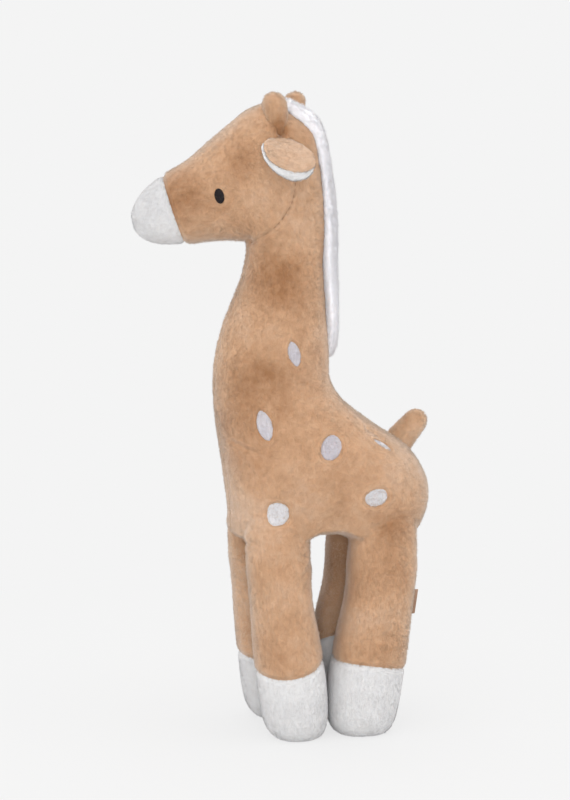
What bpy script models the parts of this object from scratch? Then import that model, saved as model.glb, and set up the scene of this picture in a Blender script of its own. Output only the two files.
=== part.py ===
"""A stuffed toy giraffe, made the way it is cut and sewn.

Every stuffed form is a loft of oval sections. From one table of sections come the
pile fabric skin, the hollow inside it and the fibre filling that fits the hollow.
Limbs and neck end in rounded heads that sit in sockets of the torso, so they flex there.
The giraffe faces -X, stands on Z = 0, and its left side is -Y. Lengths are in metres.
"""
from math import atan2, cos, pi, radians, sin

import bmesh
import bpy
import numpy as np
from mathutils import Matrix, Vector

MM = 0.001

# Cloth and clearances
SKIN = 1.6 * MM
GAP = 0.3 * MM
FILLING_GAP = 0.6 * MM
SWING_GAP = 1.8 * MM
SIDE_GAP = 0.5 * MM
FLAP_GAP = 0.7 * MM
EAR_GAP = 0.9 * MM
OVERRUN = 6 * MM
LEG_SWING = radians(12)

# How square a section's corners are: 2 is a true oval
ROUND = 2.0
TORSO_SQUARENESS = 2.7
HEAD_SQUARENESS = 2.15
LEG_SQUARENESS = 2.25
MANE_SQUARENESS = 2.6

# Torso, from the hip line up to the neck
HIP_HEIGHT = 128 * MM
BACK_RISE = 94 * MM
TORSO_LENGTH = 131 * MM
TORSO_WIDTH = 86 * MM
BELLY_DROP = 5.5 * MM
NECK_SETBACK = 27.5 * MM
CHEST_LIP = 1.5 * MM
WITHERS_LIP = 3.2 * MM

# Neck
NECK_BASE_DEPTH = 73 * MM
NECK_BASE_WIDTH = 65 * MM
NECK_LENGTH = 84 * MM
THROAT_DEPTH = 51 * MM
THROAT_WIDTH = 48 * MM
THROAT_SHIFT = 10.4 * MM

# Head, turned a little to its right on the neck
HEAD_TURN = radians(-15)
FACE_LENGTH = 69.5 * MM
HEAD_HEIGHT = 87 * MM
HEAD_WIDTH = 54 * MM
MUZZLE_LENGTH = 27.4 * MM
MUZZLE_SLANT = radians(18)
EYE_WIDTH = 5.4 * MM
EYE_HEIGHT = 9.2 * MM
EYE_THICKNESS = 0.9 * MM
EYE_TILT = radians(-8)
HORN_WIDTH = 15.4 * MM
HORN_HEIGHT = 30 * MM
HORN_SPREAD = 27 * MM
HORN_RISE = 7 * MM
HORN_LEFT_X = -5.4 * MM
HORN_LEFT_LEAN = -3 * MM
HORN_RIGHT_X = -1.8 * MM
HORN_RIGHT_LEAN = 7 * MM
EAR_LENGTH = 29 * MM
EAR_WIDTH = 33 * MM
EAR_CLOTH = 2.4 * MM
EAR_LINING = 1.6 * MM
EAR_SINK = 2.1 * MM
EAR_CUP = 7 * MM
EAR_DROOP = radians(38)
EAR_HEIGHT = 60 * MM
EAR_SETBACK = 25 * MM
EAR_ROOT_SHARE = 0.45
EAR_LINING_SHARE = 0.94

# Mane
MANE_WIDTH = 9.5 * MM
MANE_HEIGHT = 6.8 * MM
MANE_END_SHARE = 0.55

# Tail
TAIL_LENGTH = 21 * MM
TAIL_WIDTH = 14 * MM
TAIL_RISE = radians(48)
TAIL_FLATNESS_SHARE = 0.86

# Legs and feet
HIP_SPREAD = 48 * MM
FRONT_HIP_INSET = 24.5 * MM
HIND_HIP_INSET = 37.5 * MM
FRONT_THIGH_DEPTH = 41.2 * MM
HIND_THIGH_DEPTH = 44 * MM
THIGH_WIDTH = 31 * MM
FRONT_FOOT_DEPTH = 45.3 * MM
HIND_FOOT_DEPTH = 48.9 * MM
FOOT_WIDTH = 41 * MM
FEET_MEET_SETBACK = 57.3 * MM
FEET_GAP = 0.6 * MM
FRONT_FOOT_HEIGHT = 43.5 * MM
HIND_FOOT_HEIGHT = 48.5 * MM
HIND_SEAM_SLANT = radians(7)

# Side tab on the left hind leg
TAB_HEIGHT = 16 * MM
TAB_REACH = 4.4 * MM
TAB_THICKNESS = 1.3 * MM
TAB_MIDDLE = 81 * MM

# Places worked out from the sizes above
CHEST_X = -36.5 * MM
RUMP_X = CHEST_X + TORSO_LENGTH
NECK_X = CHEST_X + NECK_SETBACK
NECK_Z = HIP_HEIGHT + BACK_RISE
THROAT_X = NECK_X + THROAT_SHIFT
THROAT_Z = NECK_Z + NECK_LENGTH
THROAT_FRONT = THROAT_X - THROAT_DEPTH / 2
FEET_MEET_X = CHEST_X + FEET_MEET_SETBACK

# Sections: height, front lean, back lean, fullness and width lean, from hips to neck base
TORSO_SHARES = (
    (0.00, -0.10, 0.047, 0.90, 0.00),
    (0.16, -0.03, 0.003, 0.97, 0.00),
    (0.34, 0.17, 0.047, 1.00, 0.00),
    (0.53, 0.42, 0.227, 1.00, 0.12),
    (0.69, 0.69, 0.57, 1.00, 0.41),
    (0.86, 0.91, 0.88, 1.00, 0.76),
    (0.99, 1.00, 1.00, 1.00, 1.00),
    (1.12, 0.97, 1.04, 1.00, 1.06),
)

# Sections: height, front taper, back taper and width taper, from neck base to throat
NECK_SHARES = (
    (0.00, 0.00, 0.0, 0.00),
    (0.17, 0.03, 0.0, 0.10),
    (0.345, 0.18, 0.2, 0.32),
    (0.49, 0.387, 0.4, 0.53),
    (0.63, 0.618, 0.6, 0.68),
    (0.76, 0.816, 0.8, 0.82),
    (0.905, 0.94, 0.9, 0.95),
    (1.00, 1.00, 1.0, 1.00),
    (1.10, 1.02, 1.0, 1.02),
)

# Sections of the head: chin along and up, crown along and up, width.
# Along counts forward in face lengths from the throat, and backward in throat depths.
HEAD_SHARES = (
    (0.00, -0.07, -1.000, -0.07, 0.885),
    (0.004, 0.015, -1.000, 0.10, 0.89),
    (0.010, 0.032, -0.985, 0.27, 0.92),
    (0.022, 0.040, -0.955, 0.44, 0.95),
    (0.045, 0.046, -0.890, 0.61, 0.98),
    (0.090, 0.050, -0.745, 0.80, 1.00),
    (0.150, 0.052, -0.540, 0.945, 0.99),
    (0.225, 0.050, -0.300, 0.985, 0.96),
    (0.320, 0.045, -0.050, 0.955, 0.91),
    (0.430, 0.032, 0.130, 0.855, 0.86),
    (0.550, 0.022, 0.310, 0.730, 0.80),
    (0.670, 0.017, 0.500, 0.600, 0.745),
    (0.780, 0.022, 0.680, 0.512, 0.69),
    (0.860, 0.038, 0.815, 0.440, 0.61),
    (0.930, 0.072, 0.910, 0.372, 0.47),
    (0.975, 0.120, 0.965, 0.315, 0.29),
    (0.996, 0.180, 0.994, 0.258, 0.12),
)

# Sections of a leg: height, inner edge lean, front and hind outer edge lean, width lean
LEG_SHARES = (
    (1.000, 0.00, 0.00, 0.00, 0.00),
    (0.875, 0.05, 0.08, 0.02, 0.16),
    (0.750, 0.07, 0.25, 0.13, 0.42),
    (0.625, 0.22, 0.43, 0.33, 0.50),
    (0.500, 0.51, 0.53, 0.48, 0.62),
    (0.390, 0.71, 0.72, 0.63, 0.82),
    (0.297, 0.90, 0.94, 0.83, 0.98),
    (0.203, 1.00, 1.08, 1.03, 1.02),
    (0.102, 1.00, 1.40, 1.33, 0.90),
    (0.039, 0.86, 1.85, 1.65, 0.40),
    (0.000, 0.55, 2.50, 2.10, -0.40),
)

# Spots: place as shares across the torso and up its back, and size as length, width and tilt
TORSO_SPOT_SHARES = {"chest": (0.232, 0.771), "flank": (0.544, 0.612), "rump": (0.859, 0.585),
                     "hip": (0.647, 0.257), "shoulder": (0.164, 0.186)}
TORSO_SPOT_SIZES = {"chest": (19.6 * MM, 10.4 * MM, radians(17)),
                    "flank": (17.0 * MM, 13.0 * MM, radians(-24)),
                    "rump": (14.5 * MM, 10.5 * MM, radians(38)),
                    "hip": (12.4 * MM, 14.8 * MM, radians(12)),
                    "shoulder": (13.6 * MM, 13.4 * MM, 0.0)}
RUMP_SPOT_LIFT = radians(42)
SPOT_POINTEDNESS = 1.12
NECK_SPOT_LENGTH = 16.7 * MM
NECK_SPOT_WIDTH = 8.8 * MM
NECK_SPOT_TILT = radians(14)
NECK_SPOT_ALONG_SHARE = 0.10
NECK_SPOT_UP_SHARE = 0.245
EYE_ALONG_SHARE = 0.226
EYE_UP_SHARE = 0.364

# Sections of a horn, an ear and the tail: place along it, then size
HORN_SHARES = ((0.0, 0.84), (0.35, 0.88), (0.75, 1.0))
EAR_SHARES = ((-0.14, 0.36), (0.12, 0.62), (0.30, 0.90), (0.50, 1.0), (0.70, 0.94), (0.86, 0.72),
              (0.95, 0.45), (0.985, 0.24))
TAIL_SHARES = ((0.0, 1.0), (0.35, 0.97), (0.72, 0.84))
TAIL_UP_SHARE = 0.565

TAN = (0.52, 0.33, 0.20)
WHITE = (0.74, 0.73, 0.74)
LILAC = (0.68, 0.65, 0.70)
THREAD = (0.016, 0.010, 0.012)
TAPE = (0.34, 0.21, 0.13)
FIBRE = (0.80, 0.80, 0.78)


def clear_scene():
    """Remove whatever the scene holds."""
    for thing in list(bpy.data.objects):
        bpy.data.objects.remove(thing, do_unlink=True)


def blend(a, b, share):
    """Point between a and b, or past them."""
    return a + (b - a) * share


def smooth_sections(sections, steps):
    """Sections on a smooth curve through the given ones, steps to each stretch.

    Between two sections each value follows a Catmull-Rom cubic of the four nearest.
    """
    table = np.array(sections, float)
    padded = np.vstack([2 * table[0] - table[1], table, 2 * table[-1] - table[-2]])
    rows = []
    for index in range(len(table) - 1):
        p0, p1, p2, p3 = padded[index:index + 4]
        for step in range(steps):
            t = step / steps
            rows.append(0.5 * (2 * p1 + (p2 - p0) * t + (2 * p0 - 5 * p1 + 4 * p2 - p3) * t * t
                               + (3 * p1 - p0 - 3 * p2 + p3) * t ** 3))
    rows.append(table[-1])
    return np.array(rows)


def cap_sections(section, neighbour, depth, steps):
    """Rounded end beyond a section: a half oval of revolution, from its pole inwards."""
    front = Vector((section[0], section[1]))
    back = Vector((section[2], section[3]))
    middle = (front + back) / 2
    half = (back - front) / 2
    outward = Vector((-half.y, half.x)).normalized()
    inside = Vector(((neighbour[0] + neighbour[2]) / 2, (neighbour[1] + neighbour[3]) / 2))
    if outward.dot(inside - middle) > 0:
        outward = -outward
    rows = []
    for step in range(1, steps):
        angle = pi / 2 * step / steps
        centre = middle + outward * depth * cos(angle)
        low = centre - half * sin(angle)
        high = centre + half * sin(angle)
        rows.append((low.x, low.y, high.x, high.y, section[4] * sin(angle), section[5]))
    pole = middle + outward * depth
    return np.array(rows), pole


def loft(name, sections, around, inset=0.0, caps=(None, None), cap_steps=4):
    """Closed loft of oval sections.

    A section is front X, front Z, back X, back Z, half width and squareness. A point of it lies
    at the middle plus cos t of the half chord and sin t of the half width, both raised to
    2 / squareness. Inset draws every section in by that length. A cap is the depth of a
    rounded end, and None closes the end flat.
    """
    rows = np.array(sections, float)
    chord = rows[:, 2:4] - rows[:, 0:2]
    length = np.linalg.norm(chord, axis=1)
    keep = np.minimum(length / 2, rows[:, 4]) > inset + max(inset, 0) / 2
    rows, chord, length = rows[keep], chord[keep], length[keep]
    pull = chord / length[:, None] * inset
    rows[:, 0:2] += pull
    rows[:, 2:4] -= pull
    rows[:, 4] -= inset
    first_pole = last_pole = None
    if caps[0] is not None:
        extra, first_pole = cap_sections(rows[0], rows[1], caps[0] - inset, cap_steps)
        rows = np.vstack([extra, rows])
    if caps[1] is not None:
        extra, last_pole = cap_sections(rows[-1], rows[-2], caps[1] - inset, cap_steps)
        rows = np.vstack([rows, extra[::-1]])
    angle = np.arange(around) * 2 * pi / around
    c, s = np.cos(angle), np.sin(angle)
    power = 2 / rows[:, 5:6]
    along = np.sign(c) * np.abs(c) ** power
    across = np.sign(s) * np.abs(s) ** power
    middle = (rows[:, 0:2] + rows[:, 2:4]) / 2
    half = (rows[:, 0:2] - rows[:, 2:4]) / 2
    x = middle[:, 0:1] + half[:, 0:1] * along
    z = middle[:, 1:2] + half[:, 1:2] * along
    y = rows[:, 4:5] * across
    points = np.stack([x, y, z], axis=2).reshape(-1, 3).tolist()
    count = len(rows)
    faces = []
    for ring in range(count - 1):
        for step in range(around):
            after = (step + 1) % around
            a, b = ring * around + step, ring * around + after
            faces.append((a, b, b + around, a + around))
    for ring, pole in ((0, first_pole), (count - 1, last_pole)):
        if pole is None:
            centre = Vector((float(middle[ring, 0]), 0.0, float(middle[ring, 1])))
        else:
            centre = Vector((pole[0], 0.0, pole[1]))
        points.append(tuple(centre))
        tip = len(points) - 1
        for step in range(around):
            a, b = ring * around + step, ring * around + (step + 1) % around
            faces.append((tip, b, a) if ring == 0 else (tip, a, b))
    return solid(name, points, faces)


def solid(name, points, faces):
    """Object with a mesh of these points and faces, all faces outwards."""
    mesh = bpy.data.meshes.new(name)
    mesh.from_pydata([tuple(p) for p in points], [], faces)
    tidy = bmesh.new()
    tidy.from_mesh(mesh)
    bmesh.ops.recalc_face_normals(tidy, faces=tidy.faces)
    if tidy.calc_volume(signed=True) < 0:
        bmesh.ops.reverse_faces(tidy, faces=tidy.faces)
    tidy.to_mesh(mesh)
    tidy.free()
    thing = bpy.data.objects.new(name, mesh)
    bpy.context.scene.collection.objects.link(thing)
    return thing


def shift(thing, x=0.0, y=0.0, z=0.0):
    """Move the points of a mesh."""
    thing.data.transform(Matrix.Translation((x, y, z)))
    return thing


def turn(thing, angle, axis, centre):
    """Turn the points of a mesh about an axis through centre."""
    place = Matrix.Translation(centre)
    thing.data.transform(place @ Matrix.Rotation(angle, 4, axis) @ place.inverted())
    return thing


def twin(thing, name):
    """Separate copy of an object and its mesh."""
    other = bpy.data.objects.new(name, thing.data.copy())
    bpy.context.scene.collection.objects.link(other)
    return other


def combine(thing, tool, operation, keep_tool=False):
    """Cut, intersect or join a piece with a tool, and throw the tool away."""
    step = thing.modifiers.new("work", "BOOLEAN")
    step.operation = operation
    step.solver = "EXACT"
    step.object = tool
    graph = bpy.context.evaluated_depsgraph_get()
    mesh = bpy.data.meshes.new_from_object(thing.evaluated_get(graph))
    thing.modifiers.remove(step)
    thing.data = mesh
    if not keep_tool:
        bpy.data.objects.remove(tool, do_unlink=True)
    return thing


def slab(name, point, normal, reach):
    """Block with one face through point, lying on the side that normal points to."""
    box = bmesh.new()
    bmesh.ops.create_cube(box, size=2.0)
    mesh = bpy.data.meshes.new(name)
    box.to_mesh(mesh)
    box.free()
    turned = Vector((0, 0, 1)).rotation_difference(Vector(normal)).to_matrix().to_4x4()
    middle = Vector(point) + Vector(normal).normalized() * reach
    mesh.transform(Matrix.Translation(middle) @ turned @ Matrix.Scale(reach, 4))
    thing = bpy.data.objects.new(name, mesh)
    bpy.context.scene.collection.objects.link(thing)
    return thing


def trim(thing, point, normal):
    """Take off everything on the side that normal points to."""
    return combine(thing, slab("trimmer", point, normal, TORSO_LENGTH + FACE_LENGTH), "DIFFERENCE")


def torso_sections():
    neck_front = NECK_X - NECK_BASE_DEPTH / 2 - CHEST_LIP
    neck_back = NECK_X + NECK_BASE_DEPTH / 2 + WITHERS_LIP
    rows = []
    for height, front, back, fullness, taper in TORSO_SHARES:
        z = HIP_HEIGHT + height * BACK_RISE
        width = fullness * blend(TORSO_WIDTH / 2, NECK_BASE_WIDTH / 2 + CHEST_LIP, taper)
        rows.append((blend(CHEST_X, neck_front, front), z, blend(RUMP_X, neck_back, back), z,
                     width, blend(TORSO_SQUARENESS, ROUND, taper)))
    return rows


def neck_sections():
    rows = []
    for height, front, back, taper in NECK_SHARES:
        z = NECK_Z + height * NECK_LENGTH
        low = blend(NECK_X - NECK_BASE_DEPTH / 2, THROAT_FRONT, front)
        high = blend(NECK_X + NECK_BASE_DEPTH / 2, THROAT_FRONT + THROAT_DEPTH, back)
        rows.append((low, z, high, z, blend(NECK_BASE_WIDTH, THROAT_WIDTH, taper) / 2, ROUND))
    return rows


def head_along(share):
    """X of a place on the head, ahead of the throat's front or behind it."""
    return THROAT_FRONT - share * (FACE_LENGTH if share > 0 else THROAT_DEPTH)


def head_sections():
    rows = []
    for chin, chin_up, crown, crown_up, width in HEAD_SHARES:
        rows.append((head_along(chin), THROAT_Z + chin_up * HEAD_HEIGHT,
                     head_along(crown), THROAT_Z + crown_up * HEAD_HEIGHT,
                     width * HEAD_WIDTH / 2, HEAD_SQUARENESS))
    return rows


def leg_sections(front):
    """Sections of a leg on the plane Y = 0, from the hip down to the sole."""
    if front:
        hip, depth, foot, side = CHEST_X + FRONT_HIP_INSET, FRONT_THIGH_DEPTH, FRONT_FOOT_DEPTH, -1
    else:
        hip, depth, foot, side = RUMP_X - HIND_HIP_INSET, HIND_THIGH_DEPTH, HIND_FOOT_DEPTH, 1
    inner_foot = FEET_MEET_X + side * FEET_GAP / 2
    rows = []
    for height, inner, outer_front, outer_hind, lean in LEG_SHARES:
        z = height * HIP_HEIGHT
        outer = outer_front if front else outer_hind
        inner_x = blend(hip - side * depth / 2, inner_foot, inner)
        outer_x = blend(hip + side * depth / 2, inner_foot + side * foot, outer)
        width = blend(THIGH_WIDTH, FOOT_WIDTH, lean) / 2
        squareness = ROUND if height == 1 else LEG_SQUARENESS
        rows.append((inner_x, z, outer_x, z, width, squareness))
    return hip, depth / 2, rows


def draw_back(sections, by):
    """Sections that stop short of the last one by a length, measured along their middles."""
    rows = np.array(sections, float)
    middle = (rows[:, 0:2] + rows[:, 2:4]) / 2
    steps = np.linalg.norm(np.diff(middle, axis=0), axis=1)
    left = np.append(np.cumsum(steps[::-1])[::-1], 0.0)
    last = int(np.max(np.nonzero(left > by)))
    share = (left[last] - by) / (left[last] - left[last + 1])
    return np.vstack([rows[:last + 1], blend(rows[last], rows[last + 1], share)])


def hip_socket(front, y):
    """Room for a limb's head: a half oval on a straight column."""
    x, radius, _ = leg_sections(front)
    z = HIP_HEIGHT
    half = radius + SWING_GAP
    width = THIGH_WIDTH / 2 + SIDE_GAP
    low = z - BELLY_DROP - OVERRUN
    sections = [(x - half, z, x + half, z, width, ROUND),
                (x - half, low, x + half, low, width, ROUND)]
    return shift(loft("socket", sections, 24, caps=(half, None), cap_steps=5), y=y)


def swung_leg(front, y):
    """Room for the widening of a leg at the far end of its swing."""
    x, radius, sections = leg_sections(front)
    leg = loft("swung", sections[:5], 16, -SIDE_GAP, (radius - SIDE_GAP, None))
    angle = LEG_SWING if front else -LEG_SWING
    return shift(turn(leg, angle, "Y", (x, 0, HIP_HEIGHT)), y=y)


def stuffed(name, sections, around, inner_around, caps, steps, closed_end=False):
    """Skin with its hollow still closed, and the filling that fits the hollow."""
    hollow_rows = draw_back(sections, SKIN) if closed_end else sections
    filling_rows = draw_back(sections, SKIN + FILLING_GAP) if closed_end else sections
    skin = loft(name, smooth_sections(sections, steps), around, caps=caps)
    hollow = loft("hollow", hollow_rows, inner_around, SKIN, caps)
    filling = loft(name + "_filling", filling_rows, inner_around, SKIN + FILLING_GAP, caps)
    combine(skin, hollow, "DIFFERENCE")
    return skin, filling


def make_torso_and_neck():
    """Torso open at the neck and the hips, neck with its rounded lower end."""
    torso, torso_filling = stuffed("torso", torso_sections(), 36, 20, (BELLY_DROP, None), 2)
    neck, neck_filling = stuffed("neck", neck_sections(), 32, 16, (NECK_BASE_DEPTH / 2, None), 1)
    rim_drop = CHEST_LIP * 4
    slope = atan2(rim_drop, NECK_BASE_DEPTH)
    for piece in (torso, torso_filling):
        trim(piece, (NECK_X, 0, NECK_Z - rim_drop), (-sin(slope), 0, cos(slope)))
        base = neck_sections()[0]
        half = NECK_BASE_DEPTH / 2 + SWING_GAP
        z = NECK_Z
        top = z + OVERRUN
        room = [(NECK_X - half, z, NECK_X + half, z, base[4] + SIDE_GAP, ROUND),
                (NECK_X - half, top, NECK_X + half, top, base[4] + SIDE_GAP, ROUND)]
        combine(piece, loft("socket", room, 32, caps=(half, None), cap_steps=6), "DIFFERENCE")
        for front in (True, False):
            for side in (-1, 1):
                combine(piece, hip_socket(front, side * HIP_SPREAD / 2), "DIFFERENCE")
                if not front:
                    combine(piece, swung_leg(front, side * HIP_SPREAD / 2), "DIFFERENCE")
    for piece in (neck, neck_filling):
        trim(piece, (THROAT_X, 0, THROAT_Z), (0, 0, 1))
    return torso, torso_filling, neck, neck_filling


def make_head():
    """Head open at the throat and the muzzle seam, and the muzzle in front of that seam."""
    sections = head_sections()
    head, filling = stuffed("head", sections, 32, 16, (None, None), 1, True)
    seam_x = head_along(1) + MUZZLE_LENGTH
    seam_z = sections[-1][1]
    forward = Vector((-cos(MUZZLE_SLANT), 0, -sin(MUZZLE_SLANT)))
    seam = Vector((seam_x, 0, seam_z))
    muzzle = twin(head, "muzzle")
    trim(head, seam, forward)
    trim(muzzle, seam + forward * GAP, -forward)
    for piece in (head, filling):
        trim(piece, (THROAT_X, 0, THROAT_Z + GAP), (0, 0, -1))
    return head, muzzle, filling


def make_legs():
    """Four legs and feet, split at the foot seam, with one filling through both."""
    pieces = []
    for front, word in ((True, "front"), (False, "hind")):
        x, radius, sections = leg_sections(front)
        for side, hand in ((-1, "left"), (1, "right")):
            name = word + "_leg_" + hand
            leg, filling = stuffed(name, sections, 20, 12, (radius, None), 1, True)
            foot = twin(leg, word + "_foot_" + hand)
            slant = 0.0 if front else HIND_SEAM_SLANT
            seam = Vector((FEET_MEET_X, 0, FRONT_FOOT_HEIGHT if front else HIND_FOOT_HEIGHT))
            normal = Vector((sin(slant), 0, cos(slant)))
            trim(leg, seam + normal * GAP, -normal)
            trim(foot, seam, normal)
            for piece in (leg, foot, filling):
                shift(piece, y=side * HIP_SPREAD / 2)
            pieces.append((word, hand, x, side, leg, foot, filling))
    return pieces


def torso_place(along, up):
    """Point of the torso's middle plane, a share of the way from its front to its back edge."""
    rows = smooth_sections(torso_sections(), 8)
    z = HIP_HEIGHT + up * BACK_RISE
    front, back = (float(np.interp(z, rows[:, 1], rows[:, column])) for column in (0, 2))
    return blend(front, back, along), z


def patch_tool(name, x, z, length, width, tilt, lift, side, grow):
    """Rod with the outline of a spot, pointing out of one side of the giraffe.

    The outline is length / 2 times cos t and width / 2 times sin t, a little pointed.
    """
    around = 16
    angle = np.arange(around) * 2 * pi / around
    c, s = np.cos(angle), np.sin(angle)
    tall = (length / 2 + grow) * np.sign(c) * np.abs(c) ** SPOT_POINTEDNESS
    wide = (width / 2 + grow) * np.sign(s) * np.abs(s) ** SPOT_POINTEDNESS
    dx = wide * cos(tilt) + tall * -sin(tilt)
    dz = wide * sin(tilt) + tall * cos(tilt)
    near, far = TORSO_WIDTH / 8, TORSO_WIDTH
    points = [(float(a), y, float(b)) for y in (near, far) for a, b in zip(dx, dz)]
    faces = [tuple(range(around)), tuple(range(2 * around - 1, around - 1, -1))]
    for step in range(around):
        after = (step + 1) % around
        faces.append((step, after, after + around, step + around))
    tool = solid(name, points, faces)
    reach = TORSO_WIDTH / 3
    turn(tool, lift, "X", (0, reach * cos(lift), 0))
    if side < 0:
        tool.data.transform(Matrix.Scale(-1, 4, (0, 1, 0)))
        tool.data.flip_normals()
    return shift(tool, x=x, z=z)


def inlay(skin, name, place, side):
    """Spot let into the skin: it fills a hole of its own outline, less the seam's gap."""
    patch = twin(skin, name)
    combine(patch, patch_tool("outline", *place, side, -GAP / 2), "INTERSECT")
    combine(skin, patch_tool("outline", *place, side, GAP / 2), "DIFFERENCE")
    return patch


def make_spots(torso, neck):
    """Twelve spots, six a side, and the body each of them belongs to."""
    spots = []
    for side, hand in ((-1, "left"), (1, "right")):
        for name, shares in TORSO_SPOT_SHARES.items():
            lift = RUMP_SPOT_LIFT if name == "rump" else 0.0
            place = (*torso_place(*shares), *TORSO_SPOT_SIZES[name], lift)
            spots.append(inlay(torso, name + "_spot_" + hand, place, side))
        place = (NECK_X + NECK_SPOT_ALONG_SHARE * NECK_BASE_DEPTH,
                 NECK_Z + NECK_SPOT_UP_SHARE * NECK_LENGTH,
                 NECK_SPOT_LENGTH, NECK_SPOT_WIDTH, NECK_SPOT_TILT, 0.0)
        spots.append(inlay(neck, "neck_spot_" + hand, place, side))
    return spots


def head_form(name, inset):
    return loft(name, head_sections(), 32, inset)


def make_eyes():
    """Raised satin-stitch ovals that follow the side of the head."""
    eyes = []
    for side, hand in ((-1, "left"), (1, "right")):
        eye = head_form("eye_" + hand, -EYE_THICKNESS - GAP)
        combine(eye, head_form("under", -GAP), "DIFFERENCE")
        place = (head_along(EYE_ALONG_SHARE), THROAT_Z + EYE_UP_SHARE * HEAD_HEIGHT,
                 EYE_HEIGHT, EYE_WIDTH, EYE_TILT, 0.0)
        combine(eye, patch_tool("outline", *place, side, 0.0), "INTERSECT")
        eyes.append(eye)
    return eyes


def make_horns():
    """Stubby stuffed horns that stand on the head; the right one leans back."""
    horns = []
    top = THROAT_Z + HEAD_HEIGHT + HORN_RISE
    for side, hand, start, lean in ((-1, "left", HORN_LEFT_X, HORN_LEFT_LEAN),
                                    (1, "right", HORN_RIGHT_X, HORN_RIGHT_LEAN)):
        rows = []
        tall = HORN_HEIGHT - HORN_WIDTH / 2
        for up, size in HORN_SHARES:
            middle = THROAT_X + start + lean * up
            half = HORN_WIDTH / 2 * size
            z = top - HORN_HEIGHT + up / HORN_SHARES[-1][0] * tall
            rows.append((middle - half, z, middle + half, z, half, ROUND))
        horn = loft("horn_" + hand, smooth_sections(rows, 2), 20, caps=(None, HORN_WIDTH / 2))
        shift(horn, y=side * HORN_SPREAD / 2)
        horns.append(combine(horn, head_form("under", -GAP), "DIFFERENCE"))
    return horns


def ear_root(side):
    """Middle of the seam that an ear hangs on, before the head is turned."""
    x = THROAT_FRONT + THROAT_DEPTH - EAR_SETBACK
    return Vector((x, side * (HEAD_WIDTH / 2 - EAR_SINK), THROAT_Z + EAR_HEIGHT))


def ear_hinge(side):
    """Middle of the fold that an ear flaps on, within the cloth at its seam."""
    return ear_root(side) + Vector((0, -side * EAR_CLOTH / 4, EAR_CLOTH / 6))


def root_taper(down):
    """How thick an ear is near its seam, as a share of its full thickness."""
    return min(1.0, max(EAR_ROOT_SHARE, EAR_ROOT_SHARE + down * 3))


def ear_layer(name, side, thickness, out, size):
    """One layer of an ear: an oval plate, cupped, then drooped from its seam."""
    rows = []
    for down, wide in EAR_SHARES:
        half = EAR_WIDTH / 2 * wide * size
        body = thickness / 2 * root_taper(down)
        rows.append((-half, -down * EAR_LENGTH * size, half, -down * EAR_LENGTH * size,
                     body, ROUND))
    ear = loft(name, smooth_sections(rows, 1), 20)
    for point in ear.data.vertices:
        across = point.co.x / (EAR_WIDTH / 2)
        down = -point.co.z / EAR_LENGTH
        cup = EAR_CUP * across * across * min(1.0, max(0.0, down * 2))
        point.co.y += out * root_taper(down) - cup
    if side < 0:
        ear.data.transform(Matrix.Scale(-1, 4, (0, 1, 0)))
        ear.data.flip_normals()
    turn(ear, side * (pi / 2 - EAR_DROOP), "X", (0, 0, 0))
    root = ear_root(side)
    shift(ear, root.x, root.y, root.z)
    return combine(ear, head_form("under", -EAR_GAP), "DIFFERENCE")


def make_ears():
    """Each ear is a plush back and a pale lining, sewn together round the rim."""
    ears = []
    for side, hand in ((-1, "left"), (1, "right")):
        apart = (EAR_CLOTH + EAR_LINING) / 2 + GAP
        ears.append(ear_layer("ear_" + hand, side, EAR_CLOTH, apart / 2, 1.0))
        ears.append(ear_layer("ear_lining_" + hand, side, EAR_LINING, -apart / 2,
                              EAR_LINING_SHARE))
    return ears


def make_mane(name, rows, under):
    """Plush ridge along the ends of the given sections' chords."""
    band = []
    for index, row in enumerate(rows):
        back = Vector((row[2], row[3]))
        out = (back - Vector((row[0], row[1]))).normalized()
        size = MANE_END_SHARE if index in (0, len(rows) - 1) else 1.0
        tall = out * MANE_HEIGHT * size
        low = back - out * SKIN
        band.append((low.x, low.y, (back + tall).x, (back + tall).y, MANE_WIDTH / 2 * size,
                     MANE_SQUARENESS))
    return combine(loft(name, smooth_sections(band, 2), 16), under, "DIFFERENCE")


def make_manes():
    """Mane of the neck, which winds with the turned head, and mane of the head."""
    neck_rows = neck_sections()[1:]
    neck = make_mane("neck_mane", neck_rows, loft("under", smooth_sections(neck_sections(), 1),
                                                  32, -GAP, (NECK_BASE_DEPTH / 2, None)))
    low, high = neck_rows[0][1], THROAT_Z
    for point in neck.data.vertices:
        share = min(1.0, max(0.0, (point.co.z - low) / (high - low)))
        middle = blend(NECK_X, THROAT_X, (point.co.z - NECK_Z) / NECK_LENGTH)
        angle = HEAD_TURN * share * share * (3 - 2 * share)
        point.co = (Matrix.Translation((middle, 0, 0)) @ Matrix.Rotation(angle, 4, "Z")
                    @ Matrix.Translation((-middle, 0, 0)) @ point.co)
    combine(neck, loft("under", neck_sections(), 32, -GAP), "DIFFERENCE")
    trim(neck, (THROAT_X, 0, THROAT_Z), (0, 0, 1))
    head = make_mane("head_mane", head_sections()[:9], head_form("under", -GAP))
    trim(head, (THROAT_X, 0, THROAT_Z + GAP), (0, 0, -1))
    return neck, head


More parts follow.
